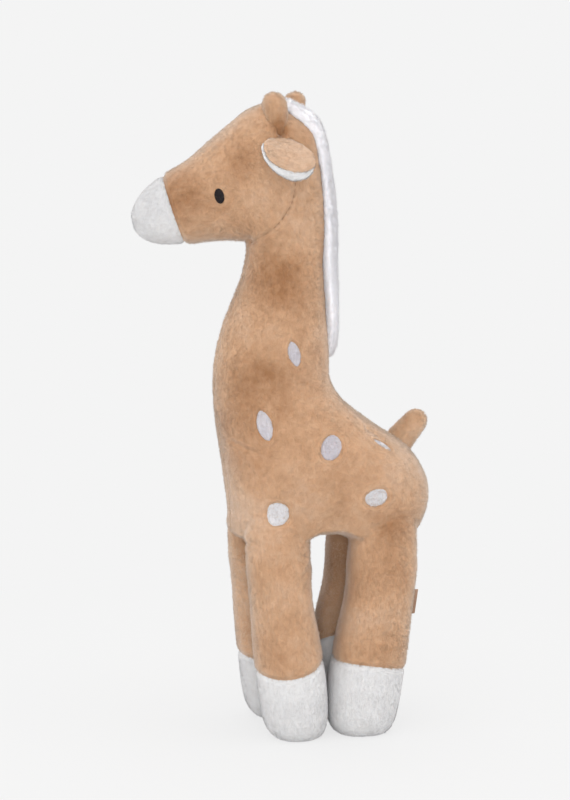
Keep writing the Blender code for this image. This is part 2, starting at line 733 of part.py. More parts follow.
def make_tail():
    """Stub tail whose rounded root sits in the back of the torso."""
    x, z = torso_place(1.0, TAIL_UP_SHARE)
    rows = []
    half = TAIL_WIDTH / 2
    for along, size in TAIL_SHARES:
        middle = Vector((x, z)) + Vector((cos(TAIL_RISE), sin(TAIL_RISE))) * along * TAIL_LENGTH
        wide = Vector((sin(TAIL_RISE), -cos(TAIL_RISE))) * half * size
        rows.append((middle.x - wide.x, middle.y - wide.y, middle.x + wide.x, middle.y + wide.y,
                     half * size * TAIL_FLATNESS_SHARE, ROUND))
    tail = loft("tail", smooth_sections(rows, 2), 20, caps=(half, half * TAIL_SHARES[-1][1]))
    room = half + FLAP_GAP
    far = Vector((cos(TAIL_RISE), sin(TAIL_RISE))) * TAIL_LENGTH / 2
    wide = Vector((sin(TAIL_RISE), -cos(TAIL_RISE))) * room
    side = half * TAIL_FLATNESS_SHARE + SIDE_GAP
    socket = [(x - wide.x, z - wide.y, x + wide.x, z + wide.y, side, ROUND),
              (x - wide.x + far.x, z - wide.y + far.y, x + wide.x + far.x, z + wide.y + far.y,
               side, ROUND)]
    return tail, (x, z), loft("socket", socket, 24, caps=(room, None), cap_steps=5)


def make_tab():
    """Folded tape caught in the back seam of the left hind leg."""
    _, _, rows = leg_sections(False)
    fine = smooth_sections(rows, 4)
    edge = float(np.interp(-TAB_MIDDLE, -fine[:, 3], fine[:, 2]))
    box = bmesh.new()
    bmesh.ops.create_cube(box, size=1.0)
    size = Matrix.Diagonal((TAB_REACH + SKIN, TAB_THICKNESS, TAB_HEIGHT, 1))
    bmesh.ops.transform(box, matrix=size, verts=box.verts)
    bmesh.ops.bevel(box, geom=box.edges[:], offset=TAB_THICKNESS / 3, segments=2, profile=0.5,
                    affect="EDGES")
    mesh = bpy.data.meshes.new("side_tab")
    box.to_mesh(mesh)
    box.free()
    tab = bpy.data.objects.new("side_tab", mesh)
    bpy.context.scene.collection.objects.link(tab)
    shift(tab, edge + FLAP_GAP + (TAB_REACH - SKIN) / 2, 0, TAB_MIDDLE)
    combine(tab, loft("under", fine, 24, -FLAP_GAP), "DIFFERENCE")
    return shift(tab, y=-HIP_SPREAD / 2), (edge + FLAP_GAP, -HIP_SPREAD / 2, TAB_MIDDLE)


def paint(things, name, colour, roughness=0.9):
    """Give every piece of a kind its own Principled material."""
    for thing in things:
        material = bpy.data.materials.new(thing.name + "_" + name)
        material.use_nodes = True
        shader = material.node_tree.nodes["Principled BSDF"]
        shader.inputs["Base Color"].default_value = (*colour, 1)
        shader.inputs["Roughness"].default_value = roughness
        shader.inputs["Metallic"].default_value = 0.0
        thing.data.materials.clear()
        thing.data.materials.append(material)


def clean(thing):
    """Join points that a cut left on top of each other, and shade the piece smooth."""
    mesh = bmesh.new()
    mesh.from_mesh(thing.data)
    bmesh.ops.remove_doubles(mesh, verts=mesh.verts, dist=MM / 100)
    bmesh.ops.dissolve_degenerate(mesh, edges=mesh.edges, dist=MM / 100)
    mesh.to_mesh(thing.data)
    mesh.free()
    thing.data.shade_smooth()
    thing.data.set_sharp_from_angle(angle=radians(40))


def stand_on_origin(pieces):
    """Move everything so that the origin is the middle of the underside."""
    points = np.array([tuple(p.co) for piece in pieces for p in piece.data.vertices])
    low, high = points.min(axis=0), points.max(axis=0)
    move = Vector((-(low[0] + high[0]) / 2, -(low[1] + high[1]) / 2, -low[2]))
    for piece in pieces:
        shift(piece, *move)
    return move


def set_pivot(pieces, pivot):
    """Put the origin of each piece on its joint's axis, leaving its shape where it is."""
    for piece in pieces:
        piece.data.transform(Matrix.Translation(-Vector(pivot)))
        piece.location = pivot


def build():
    clear_scene()
    torso, torso_filling, neck, neck_filling = make_torso_and_neck()
    tail, (tail_x, tail_z), tail_socket = make_tail()
    combine(torso, tail_socket, "DIFFERENCE", keep_tool=True)
    combine(torso_filling, tail_socket, "DIFFERENCE")
    spots = make_spots(torso, neck)
    neck_mane, head_mane = make_manes()
    head, muzzle, head_filling = make_head()
    eyes, horns, ears = make_eyes(), make_horns(), make_ears()
    turned = [head, muzzle, head_filling, head_mane] + eyes + horns + ears
    for piece in turned:
        turn(piece, HEAD_TURN, "Z", (THROAT_X, 0, 0))
    legs = make_legs()
    tab, tab_place = make_tab()
    fillings = [torso_filling, neck_filling, head_filling] + [leg[6] for leg in legs]
    feet = [leg[5] for leg in legs]
    plush = [torso, neck, head, tail] + horns + ears[0::2] + [leg[4] for leg in legs]
    paint(plush, "tan_plush", TAN)
    paint([muzzle, neck_mane, head_mane] + feet + ears[1::2], "white_plush", WHITE)
    paint(spots, "spot_cloth", LILAC)
    paint(eyes, "thread", THREAD, 0.5)
    paint([tab], "tape", TAPE, 0.7)
    paint(fillings, "fibre", FIBRE)
    pieces = plush + fillings + feet + spots + eyes + ears[1::2] + [muzzle, neck_mane, head_mane,
                                                                    tab]
    for piece in pieces:
        clean(piece)
    move = stand_on_origin(pieces)
    turned_place = (Matrix.Translation((THROAT_X, 0, 0)) @ Matrix.Rotation(HEAD_TURN, 4, "Z")
                    @ Matrix.Translation((-THROAT_X, 0, 0)))
    pivots = {"neck_bend": (Vector((NECK_X, 0, NECK_Z)), [neck, neck_filling, neck_mane]
                            + [s for s in spots if s.name.startswith("neck")]),
              "head_turn": (Vector((THROAT_X, 0, THROAT_Z)),
                            [head, muzzle, head_filling, head_mane] + eyes + horns),
              "tail_swing": (Vector((tail_x, 0, tail_z)), [tail]),
              "tab_flap": (Vector(tab_place), [tab])}
    for side, hand, layers in ((-1, "left", ears[:2]), (1, "right", ears[2:])):
        pivots["ear_flap_" + hand] = (turned_place @ ear_hinge(side), layers)
    for word, hand, x, side, leg, foot, filling in legs:
        place = Vector((x, side * HIP_SPREAD / 2, HIP_HEIGHT))
        pivots[word + "_leg_swing_" + hand] = (place, [leg, foot, filling])
    for name, (place, riders) in pivots.items():
        set_pivot(riders, place + move)
        print("joint", name, [round(value, 5) for value in place + move])
    print("triangles", sum(len(f.vertices) - 2 for p in pieces for f in p.data.polygons))


build()
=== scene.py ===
from math import cos, pi, radians, sin

import bmesh
import bpy
import numpy as np
from mathutils import Euler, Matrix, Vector
from mathutils.bvhtree import BVHTree
from mathutils.kdtree import KDTree


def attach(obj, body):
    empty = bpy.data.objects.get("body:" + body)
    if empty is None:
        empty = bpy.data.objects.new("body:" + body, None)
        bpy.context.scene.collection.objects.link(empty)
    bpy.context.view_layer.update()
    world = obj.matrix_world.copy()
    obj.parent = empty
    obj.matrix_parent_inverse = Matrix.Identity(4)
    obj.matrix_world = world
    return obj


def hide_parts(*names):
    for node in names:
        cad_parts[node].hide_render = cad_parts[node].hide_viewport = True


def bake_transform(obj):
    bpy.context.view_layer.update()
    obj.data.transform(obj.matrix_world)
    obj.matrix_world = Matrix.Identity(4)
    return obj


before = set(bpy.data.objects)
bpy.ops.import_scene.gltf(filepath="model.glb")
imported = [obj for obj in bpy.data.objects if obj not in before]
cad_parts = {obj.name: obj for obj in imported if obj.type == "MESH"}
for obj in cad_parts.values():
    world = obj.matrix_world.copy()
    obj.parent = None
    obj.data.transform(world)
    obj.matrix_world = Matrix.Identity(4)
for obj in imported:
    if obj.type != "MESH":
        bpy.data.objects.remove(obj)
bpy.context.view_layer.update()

# Lengths are in metres. The giraffe faces -X and its left side is -Y.
MM = 0.001
CENTRE_X = -1.72 * MM
CENTRE_Y = 0.13 * MM
SIDES = (("left", -1), ("right", 1))

# Sizes of the toy, the same as the pieces under it
HIP_HEIGHT = 128 * MM
BACK_RISE = 94 * MM
TORSO_LENGTH = 129 * MM
TORSO_WIDTH = 86 * MM
CHEST_X = -36.5 * MM + CENTRE_X
RUMP_X = CHEST_X + TORSO_LENGTH
NECK_X = CHEST_X + 27.5 * MM
NECK_Z = HIP_HEIGHT + BACK_RISE
NECK_BASE_DEPTH = 73 * MM
NECK_BASE_WIDTH = 65 * MM
NECK_LENGTH = 84 * MM
THROAT_DEPTH = 51 * MM
THROAT_WIDTH = 48 * MM
THROAT_X = NECK_X + 10.4 * MM
THROAT_Z = NECK_Z + NECK_LENGTH
THROAT_FRONT = THROAT_X - THROAT_DEPTH / 2
HEAD_TURN = radians(-15)
FACE_LENGTH = 69.5 * MM
HEAD_HEIGHT = 87 * MM
HEAD_WIDTH = 54 * MM
HIP_SPREAD = 48 * MM
FRONT_HIP_X = CHEST_X + 24.5 * MM
HIND_HIP_X = RUMP_X - 35.5 * MM
FRONT_THIGH_DEPTH = 41.2 * MM
HIND_THIGH_DEPTH = 44 * MM
THIGH_WIDTH = 33 * MM
FRONT_FOOT_DEPTH = 45.3 * MM
HIND_FOOT_DEPTH = 48.9 * MM
FOOT_WIDTH = 41 * MM
FEET_MEET_X = CHEST_X + 57.3 * MM
FEET_GAP = 0.9 * MM
MUZZLE_LENGTH = 27.4 * MM
MUZZLE_SLANT = radians(18)

# How the skin's forms run into each other: spare cloth before and behind the foot of the neck,
# rounded ends of belly and muzzle, and the gap between front and hind feet
NECK_EASE_FRONT = 0.5 * MM
NECK_EASE_BACK = 1.6 * MM
BELLY_ROUND = 6 * MM
MUZZLE_ROUND = 1.2 * MM
SKIN_FEET_GAP = 2.5 * MM

# Squareness of sections, where 2 is an ellipse
ROUND = 2.0
TORSO_SQUARENESS = 2.7
HEAD_SQUARENESS = 2.15
LEG_SQUARENESS = 2.25
MANE_SQUARENESS = 1.75

# Mane: its band, how far it runs up the head, and the runs over which it tapers
MANE_WIDTH = 23.5 * MM
MANE_CROWN_WIDTH = 8 * MM
MANE_HEIGHT = 5.2 * MM
MANE_ROOT = 6 * MM
MANE_CROWN_RISE = 1.4 * MM
MANE_SHIFT = -2.5 * MM
MANE_ROWS = 8
MANE_START = 8 * MM
MANE_FOOT_RUN = 9 * MM
MANE_FOOT_WIDEN = 26 * MM
MANE_TIP_RUN = 6 * MM
MANE_CROWN_RUN = 56 * MM
MANE_RISE_RUN = 28 * MM
MANE_FLUFF = 0.25 * MM

# Embroidered eye
EYE_PLACE = (-41.4 * MM, 337.8 * MM)
EYE_WIDTH = 5.9 * MM
EYE_HEIGHT = 9.4 * MM
EYE_TILT = radians(11)
EYE_RISE = 0.9 * MM
EYE_ROOT = 1 * MM
EYE_FUZZ = 0.04 * MM
EYE_FUZZ_CELL = 0.9 * MM
THREAD_WIDTH = 0.42 * MM
THREAD_RIPPLE = 0.07 * MM

# Stitches of the seam behind the face
STITCH_LENGTH = 2.2 * MM
STITCH_WIDTH = 0.34 * MM
STITCH_SINK = 0.55 * MM
STITCH_RISE = 0.3 * MM
STITCH_STEP = 1.7

# Horns: their places fore and aft and how they lean, and their width by share of the height
HORN_WIDTH = 14.8 * MM
HORN_HEIGHT = 32 * MM
HORN_SPREAD = 27 * MM
HORN_RISE = 7 * MM
HORN_GATHER = 1.2 * MM
HORN_LEFT = (-5.4 * MM, -3 * MM)
HORN_RIGHT = (-1.8 * MM, 7 * MM)
HORN_SHARES = ((0.0, 0.74), (0.12, 0.80), (0.35, 0.92), (0.6, 1.0), (0.75, 1.0))
HORN_TIP = 0.27

# Ears: width, thickness of the lining and lift of the back, the last two in millimetres, by
# share of the length
EAR_LENGTH = 34 * MM
EAR_WIDTH = 31 * MM
EAR_ROOT = (-3.2 * MM, 17.5 * MM, 371.0 * MM)
EAR_ACROSS = (1.0, 0.0, -0.17)
EAR_DROOP = (radians(20), radians(78))
EAR_CUP = 3.0 * MM
EAR_SWEEP = 6 * MM
EAR_SHARES = ((0.0, 0.26), (0.15, 0.54), (0.30, 0.79), (0.45, 0.955), (0.60, 1.0), (0.75, 0.92),
              (0.87, 0.70), (0.95, 0.43), (1.0, 0.06))
EAR_LINING_SHARES = ((0, 2.2), (0.25, 3.0), (0.7, 4.6), (0.93, 4.4), (1, 0.8))
EAR_LIFT_SHARES = ((0, 1.2), (0.25, 1.5), (0.7, 1.9), (0.93, 1.7), (1, 0.3))
EAR_BACK_SHARE = 0.87
EAR_BACK_WIDTH = 0.96
EAR_BACK_TIP = 0.22
EAR_BACK_THICKNESS = 2.6 * MM
EAR_BACK_EDGE = (0.4 * MM, 0.3 * MM)
EAR_BACK_SHIFT = 1.3 * MM

# Tail, with its width by share of the length, and how far its root runs on into the rump
TAIL_LENGTH = 22 * MM
TAIL_WIDTH = 17 * MM
TAIL_RISE = radians(48)
TAIL_PLACE = (71.0 * MM, 178.3 * MM)
TAIL_ROOT = 4 * MM
TAIL_SPARE = 9 * MM
TAIL_FLATNESS = 0.86
TAIL_SHARES = ((0, 1.12), (0.5, 0.95), (1, 0.80))
TAIL_TIP = 0.26

# Least width of a rounded tip
TIP_WIDTH = 0.2 * MM

# Tab of folded tape, with the ribs of its weave
TAB_LOW = 73.4 * MM
TAB_HEIGHT = 15.4 * MM
TAB_EDGE = (73.2 * MM, 75.4 * MM)
TAB_REACH = 3.6 * MM
TAB_THICKNESS = 1.5 * MM
TAB_RIB = 0.55 * MM
TAB_RIPPLE = 0.05 * MM

# Foot seams: lowest or highest place, its height, and how fast the seam curves away from it
FRONT_SEAM = (-14 * MM, 41.2 * MM, 10.0)
HIND_SEAM = (20 * MM, 48 * MM, -3.3)
INNER_SEAM_RISE = 15 * MM

# Seam behind the face, X and Z in millimetres before the head turns, from the throat to the ear
HEAD_SEAM = ((-23.0, 309.0), (-20.5, 310.2), (-9.6, 317.2), (-3.4, 323.7), (2.2, 332.8),
             (4.6, 342.0), (4.8, 352.0), (3.4, 362.0), (1.4, 372.0))

# Depth and reach of the seams
SEAM_DEPTH = 1.25 * MM
MUZZLE_SEAM_REACH = 1.5 * MM
FOOT_SEAM_REACH = 1.6 * MM
HEAD_SEAM_DEPTH = 0.9 * MM
HEAD_SEAM_REACH = 1.1 * MM
MIDDLE_SEAM_DEPTH = 0.55 * MM
MIDDLE_SEAM_REACH = 1 * MM
MIDDLE_SEAM_DROP = 12 * MM

# Soft creases, X and Z in millimetres, with their depth. The far side has them a little higher
# and further back, and shallower.
CREASES = ((((-40.0, 187.5), (-33.0, 184.0), (-28.0, 182.5)), 1.1),
           (((-2.0, 224.5), (3.5, 223.0)), 0.7),
           (((-36.0, 122.0), (-30.0, 125.5)), 0.8),
           (((44.5, 193.5), (49.0, 190.5), (53.0, 186.5)), 1.0),
           (((0.5, 106.0), (10.0, 116.0), (20.0, 118.0)), 0.5))
CREASE_REACH = 1.7 * MM
FAR_CREASE_SHIFT = (1.2, 1.0)
FAR_CREASE_SHARE = 0.8

# Darker and paler places of the pile, X, Z, reach in millimetres and change: partly nap mottling,
# partly painted shade in the darker ones, deepest at the foot of the horn and under the throat, and
# painted light in the paler ones
NAP_AND_SHADE_PLACES = ((-60.0, 337.0, 15.0, -0.26), (-27.0, 354.0, 13.0, -0.24),
              (-84.0, 326.0, 16.0, -0.30), (-12.0, 287.0, 19.0, -0.48),
              (-29.0, 224.0, 19.0, -0.25), (-36.0, 190.0, 17.0, -0.20),
              (-4.0, 212.0, 15.0, -0.16), (17.0, 165.0, 16.0, -0.06),
              (22.0, 98.0, 16.0, -0.20), (58.0, 133.0, 16.0, -0.27),
              (-14.0, 62.0, 15.0, -0.10), (60.0, 100.0, 14.0, -0.10),
              (-5.5, 380.0, 6.0, -0.40), (-4.1, 375.9, 3.4, -0.60),
              (62.0, 166.0, 14.0, 0.14), (-30.0, 145.0, 12.0, 0.24),
              (-12.0, 120.0, 18.0, 0.02), (40.0, 70.0, 14.0, 0.10))

# Soft noise of the nap and of the skin: amount, size in millimetres and seed. The skin's
# amounts are in millimetres too.
NAP_CLUMPS = ((0.15, 26, 1), (0.10, 11, 2), (0.05, 5, 3))
SKIN_CLUMPS = ((0.35, 24, 11), (0.16, 7, 12), (0.06, 2.6, 13), (0.05, 1.5, 14))
FLUFF = 0.16 * MM
FLUFF_CELL = 2.6 * MM
FINE_FLUFF_CELL = 1.4 * MM

# Where the skin is cut into pieces, and between which heights it bends
NECK_SPLIT = 262 * MM
LEG_SPLIT = 114 * MM

# Arch of the belly between the front and hind legs
ARCH_X = FEET_MEET_X
ARCH_HALF_WIDTH = 14.5 * MM
ARCH_REACH = 14 * MM
ARCH_RISE = 5.6 * MM
BELLY_Z = 122 * MM

# Spots of one side: X, Z, length and width in millimetres, tilt and lift in degrees, squareness and
# paleness, which is painted light and shade by how each spot lies to the lamps
SPOTS = {"neck": (-3.6, 242.4, 17.2, 8.8, 14, 0, 1.7, 0.25),
         "chest": (-23.6, 199.6, 20.4, 10.2, 17, 0, 1.7, 0.40),
         "flank": (17.1, 185.3, 17.6, 13.6, -30, 0, 2.1, 0.15),
         "rump": (52.6, 183.0, 14.5, 4.6, 42, 40, 1.7, 0.6),
         "hip": (45.6, 152.8, 12.4, 16.6, 12, 0, 2.1, 0.75),
         "shoulder": (-16.0, 145.0, 14.6, 15.0, 0, 0, 2.3, 0.85)}
SPOT_DEPTH = 0.75 * MM
SPOT_RIDGE = 0.30 * MM
SPOT_SIDE_Y = 30 * MM
SPOT_REACH = 9 * MM
SPOT_SINK = 0.25 * MM
EDGE_SINK = 0.75 * MM
SPOT_FUZZ = 0.07 * MM
SPOT_FUZZ_CELL = 1.3 * MM
SPOT_THICKNESS = 0.7 * MM
FAR_AWAY = 99.0

# Hollow where horn, ear and head meet
PIT = (-4 * MM, 376 * MM)
PIT_REACH = 2.7 * MM
PIT_DEPTH = 3.4 * MM

# Fullness of the stuffing
STUFFING_VOXEL = 4.5 * MM
STUFFING_PRESSURE = 40.0
STUFFING_MASS = 0.05
STUFFING_FRAMES = 20
STUFFING_LIMIT = 1.6 * MM
STUFFING_CELL = 5 * MM
SOLE_HELD = 2 * MM

# Fineness of the skin
VOXEL = 1.05 * MM
VOXEL_ROUNDS = 16

# Pile of each kind of piece: spikes to a square millimetre, length, width and straying
PILES = {"tan": (1.6, 1.5 * MM, 0.42 * MM, 0.2),
         "white": (2.1, 0.9 * MM, 0.42 * MM, 0.08),
         "spot": (2.6, 0.9 * MM, 0.35 * MM, 0.15),
         "horn": (2.4, 1.3 * MM, 0.5 * MM, 0.2),
         "ear": (2.6, 1.2 * MM, 0.45 * MM, 0.2),
         "lining": (2.6, 1.3 * MM, 0.45 * MM, 0.2),
         "mane": (3.2, 1.8 * MM, 0.45 * MM, 0.3),
         "tail": (2.4, 1.5 * MM, 0.5 * MM, 0.2)}
PILE_SHARE = 1.0
PILE_ROUNDNESS = 0.10
PILE_TIP = 0.03
PILE_LEAN = 1.1
PILE_DRIFT = 0.9
PILE_DRIFT_CELL = 30 * MM
PILE_ROOT_SHARE = 0.22
PILE_TIP_SHARE = 1.2
PILE_ROOM = 0.6 * MM
PILE_FACES = 180000
SPOT_PILE_REACH = 0.9
# Painted light: the far legs' pile tone is raised by this share, in the shade between the legs
FAR_LEGS_PAINTED_LIGHT = 0.45
EARS_PALER = 0.3
# Painted light: the manes' tone is raised by this share where they face away from the lamps
MANES_PAINTED_LIGHT = 0.5

# How far the skin stands out on the head and the legs, and over which heights and runs
HEAD_GROW = 1.1 * MM
HEAD_GROW_START = 4 * MM
HEAD_GROW_RUN = 16 * MM
CHIN_RUN = 10 * MM
CHIN_START = 2 * MM
CHIN_RISE = 4 * MM
LEG_GROW = 0.95 * MM
LEG_GROW_RUN = 18 * MM

# Fullness of the back of the head, and of the foot of each horn
NAPE_FILL = 6.3 * MM
NAPE_LIFT = 0.12
NAPE_Z = 389 * MM
NAPE_REACH = 25 * MM
NAPE_START = 2 * MM
NAPE_RUN = 12 * MM
COLLAR_PLACE = (-14 * MM, 396 * MM)
COLLAR_RISE = 5 * MM
COLLAR_REACH = 5 * MM
COLLAR_WIDTH = 8 * MM
COLLAR_HEIGHT = 14 * MM

# Corner of throat and chin
THROAT_CORNER = (-24.2 * MM, 309.8 * MM)
THROAT_CORNER_DEPTH = 1.7 * MM
THROAT_CORNER_REACH = 2.6 * MM

# Camera
CAMERA_PLACE = (-338.3 * MM, -1255.7 * MM, 410 * MM)
CAMERA_TILT = radians(90 - 8.768)
CAMERA_SIDE = radians(-15)
CAMERA_SENSOR = 36
CAMERA_LENS = 94.75

# Light
BACKDROP = 0.905
WORLD_LIGHT = 1.12
FLOOR_TONE = 0.66
FLOOR_GLOW = 0.80
FLOOR_DROP = 0.2 * MM
FLOOR_FADE = (0.16, 0.42)
FLOOR_REACH = 9.0
LAMPS = (("key", (-0.9, -1.5, 1.9), (0, 0, 0.2), 6.4, 1.6),
         ("left", (-1.9, -0.5, 0.9), (0, 0, 0.2), 5.0, 1.4),
         ("front", (-0.32, -1.5, 0.30), (0, 0, 0.15), 8.0, 0.6),
         ("fill", (1.7, -0.9, 1.2), (0, 0, 0.2), 8.0, 1.8),
         ("top", (0.2, 0.3, 2.2), (0, 0, 0.1), 8.0, 2.0))

# Pile cloths: name, dark, middle, light and tip colours, sheen, fineness of the hairs, share of
# light let through and how far in millimetres
CLOTHS = {
    "tan": ("tan_pile", (0.300, 0.147, 0.068), (0.480, 0.286, 0.168), (0.550, 0.371, 0.256),
            (0.86, 0.74, 0.66), 0.68, 1500.0, 0.35, 1.3),
    "white": ("white_pile", (0.52, 0.515, 0.52), (0.605, 0.60, 0.60), (0.645, 0.64, 0.64),
              (0.95, 0.93, 0.95), 0.45, 1500.0, 0.12, 0.8),
    # mane: a white with a lilac tint, paler than the other white as painted light on the manes,
    # which face away from the lamps
    "mane": ("mane_pile", (0.62, 0.605, 0.63), (0.735, 0.72, 0.745), (0.815, 0.80, 0.825),
             (0.95, 0.93, 0.96), 0.5, 1500.0, 0.2, 0.8),
    "lilac": ("spot_pile", (0.44, 0.407, 0.44), (0.52, 0.497, 0.52), (0.60, 0.586, 0.596),
              (0.9, 0.87, 0.92), 0.12, 1800.0, 0.3, 1.2),
    "seam": ("seam_thread", (0.30, 0.165, 0.095), (0.34, 0.19, 0.11), (0.38, 0.22, 0.13),
             (0.6, 0.45, 0.36), 0.1, 2500.0, 0.3, 1.2)}
HAIR_SHADE = (0.84, 0.82, 0.80)
THREAD_COLOURS = ((0.004, 0.003, 0.004), (0.014, 0.010, 0.012))
TAPE_COLOURS = ((0.215, 0.125, 0.078), (0.31, 0.20, 0.14), (0.36, 0.235, 0.165))
PILE_BUMP = 0.4 * MM
THREAD_BUMP = 0.1 * MM
TAPE_BUMP = 0.2 * MM

# Sections of the torso: height, front lean, back lean, fullness, width lean
TORSO_SHARES = (
    (0.00, -0.10, 0.105, 0.90, 0.00), (0.16, -0.03, 0.022, 0.97, 0.00),
    (0.34, 0.17, 0.047, 1.00, 0.00), (0.53, 0.42, 0.227, 1.00, 0.12),
    (0.69, 0.69, 0.57, 1.00, 0.41), (0.86, 0.91, 0.88, 1.00, 0.76),
    (0.99, 1.00, 1.00, 1.00, 1.00), (1.12, 0.97, 1.04, 1.00, 1.06))

# Sections of the neck: height, front taper, back taper, width taper
NECK_SHARES = (
    (-0.20, 0.00, 0.0, 0.05), (0.00, 0.00, 0.0, 0.00), (0.17, 0.03, 0.0, 0.10),
    (0.345, 0.18, 0.2, 0.32), (0.49, 0.387, 0.4, 0.53), (0.63, 0.618, 0.6, 0.68),
    (0.76, 0.816, 0.8, 0.82), (0.905, 0.94, 0.9, 0.95), (1.00, 1.00, 1.0, 1.00),
    (1.10, 1.02, 1.0, 1.02))

# Sections of the head: chin along and up, crown along and up, width
HEAD_SHARES = (
    (0.00, -0.07, -1.000, -0.07, 0.885), (0.004, 0.015, -1.000, 0.10, 0.89),
    (0.010, 0.032, -0.985, 0.27, 0.92), (0.022, 0.040, -0.955, 0.44, 0.95),
    (0.045, 0.046, -0.890, 0.61, 0.98), (0.090, 0.050, -0.745, 0.80, 1.00),
    (0.150, 0.052, -0.540, 0.945, 0.99), (0.225, 0.050, -0.300, 0.985, 0.96),
    (0.320, 0.045, -0.050, 0.955, 0.91), (0.430, 0.032, 0.130, 0.855, 0.86),
    (0.550, 0.022, 0.310, 0.730, 0.80), (0.670, 0.017, 0.500, 0.600, 0.745),
    (0.780, 0.022, 0.680, 0.512, 0.69), (0.860, 0.038, 0.815, 0.440, 0.61),
    (0.930, 0.072, 0.910, 0.372, 0.47), (0.975, 0.120, 0.965, 0.315, 0.29),
    (0.996, 0.180, 0.994, 0.258, 0.12))

# Sections of a leg: height, inner edge lean, front and hind outer edge lean, width lean
LEG_SHARES = (
    (1.000, 0.00, 0.00, 0.00, 0.00), (0.875, 0.05, 0.26, 0.06, 0.16),
    (0.750, 0.07, 0.50, 0.24, 0.42), (0.625, 0.22, 0.72, 0.47, 0.50),
    (0.500, 0.51, 0.85, 0.67, 0.62), (0.390, 0.71, 1.02, 0.84, 0.82),
    (0.297, 0.90, 1.20, 1.03, 0.98), (0.203, 1.00, 1.34, 1.22, 1.02),
    (0.102, 1.00, 1.64, 1.50, 0.90), (0.039, 0.86, 2.08, 1.83, 0.40),
    (0.000, 0.55, 2.70, 2.28, -0.40))


def blend(a, b, share):
    """Point between a and b, or past them."""
    return a + (b - a) * share


def eased(share):
    """Share that starts and ends slowly: 3t^2 - 2t^3."""
    return share * share * (3 - 2 * share)


def bump(distance, width):
    """A rounded ridge: e to the minus square of distance over width."""
    return np.exp(-(distance / width) ** 2)


def squared_wave(wave, power):
    """A sine or cosine raised to a power with its sign kept, which squares an oval."""
    return np.sign(wave) * np.abs(wave) ** power


def rounded_tip(share, run):
    """1, and a quarter circle down to 0 over the last run of the share."""
    close = np.clip((1 - share) / run, 0, 1)
    return np.sqrt(close * (2 - close))


def unit(rows):
    """Rows scaled to length 1."""
    return rows / np.linalg.norm(rows, axis=1)[:, None]


def run_along(points):
    """Distance along a line at each of its points."""
    steps = np.linalg.norm(np.diff(points, axis=0), axis=1)
    return np.concatenate([[0], np.cumsum(steps)])


def read_table(share, table):
    """Value at each share of a table of shares and values, straight between its rows."""
    places, values = zip(*table)
    return np.interp(share, places, values)


def smooth_sections(sections, steps):
    """Sections on a Catmull-Rom cubic through the given ones, steps to each stretch."""
    table = np.array(sections, float)
    padded = np.vstack([2 * table[0] - table[1], table, 2 * table[-1] - table[-2]])
    t = (np.arange(steps) / steps)[None, :, None]
    p0, p1, p2, p3 = (padded[k:k + len(table) - 1, None, :] for k in range(4))
    rows = 0.5 * (2 * p1 + (p2 - p0) * t + (2 * p0 - 5 * p1 + 4 * p2 - p3) * t * t
                  + (3 * p1 - p0 - 3 * p2 + p3) * t ** 3)
    return np.vstack([rows.reshape(-1, table.shape[1]), table[-1:]])


def tube_faces(rows, around, first=0):
    """Quads of a tube of rings and its two flat ends, as lists of corner numbers."""
    ring, step = np.meshgrid(np.arange(rows - 1), np.arange(around), indexing="ij")
    a = ring * around + step
    b = ring * around + (step + 1) % around
    quads = np.stack([a, b, b + around, a + around], axis=2).reshape(-1, 4) + first
    last = first + (rows - 1) * around
    return quads.tolist() + [list(range(first, first + around))[::-1],
                             list(range(last, last + around))]


def tube(sections, around, grow=0.0, round_ends=(0.0, 0.0), end_steps=8):
    """Points and faces of a loft of oval sections with rounded ends.

    A section is front X, front Z, back X, back Z, half width and squareness. Its points are the
    middle plus the half chord times cos t and the half width times sin t, each raised to
    2 / squareness. A rounded end repeats the end section, shrunk by sin a and moved out by the
    end's depth times cos a.
    """
    rows = np.array(sections, float)
    chord = rows[:, 2:4] - rows[:, 0:2]
    away = chord / np.linalg.norm(chord, axis=1)[:, None] * grow
    rows[:, 0:2] -= away
    rows[:, 2:4] += away
    rows[:, 4] += grow
    for end, depth in enumerate(round_ends):
        if depth <= 0:
            continue
        row = rows[0] if end == 0 else rows[-1]
        near = rows[1] if end == 0 else rows[-2]
        middle = (row[0:2] + row[2:4]) / 2
        half = (row[2:4] - row[0:2]) / 2
        out = middle - (near[0:2] + near[2:4]) / 2
        normal = np.array([-half[1], half[0]]) / np.linalg.norm(half)
        normal = normal if normal @ out > 0 else -normal
        angle = pi / 2 * (np.arange(end_steps) + 0.4) / end_steps
        centre = middle + normal * (depth + grow) * np.cos(angle)[:, None]
        shrink = np.sin(angle)[:, None]
        cap = np.hstack([centre - half * shrink, centre + half * shrink, row[4] * shrink,
                         np.full((end_steps, 1), row[5])])
        rows = np.vstack([cap, rows]) if end == 0 else np.vstack([rows, cap[::-1]])
    angle = np.arange(around) * 2 * pi / around
    power = 2 / rows[:, 5:6]
    along = squared_wave(np.cos(angle), power)
    across = squared_wave(np.sin(angle), power)
    middle = (rows[:, 0:2] + rows[:, 2:4]) / 2
    half = (rows[:, 0:2] - rows[:, 2:4]) / 2
    points = np.stack([middle[:, 0:1] + half[:, 0:1] * along, rows[:, 4:5] * across,
                       middle[:, 1:2] + half[:, 1:2] * along], axis=2).reshape(-1, 3)
    return points, tube_faces(len(rows), around)


def link(name, data):
    """New object in the scene that holds a mesh, a lamp or the camera's lens."""
    thing = bpy.data.objects.new(name, data)
    bpy.context.scene.collection.objects.link(thing)
    return thing


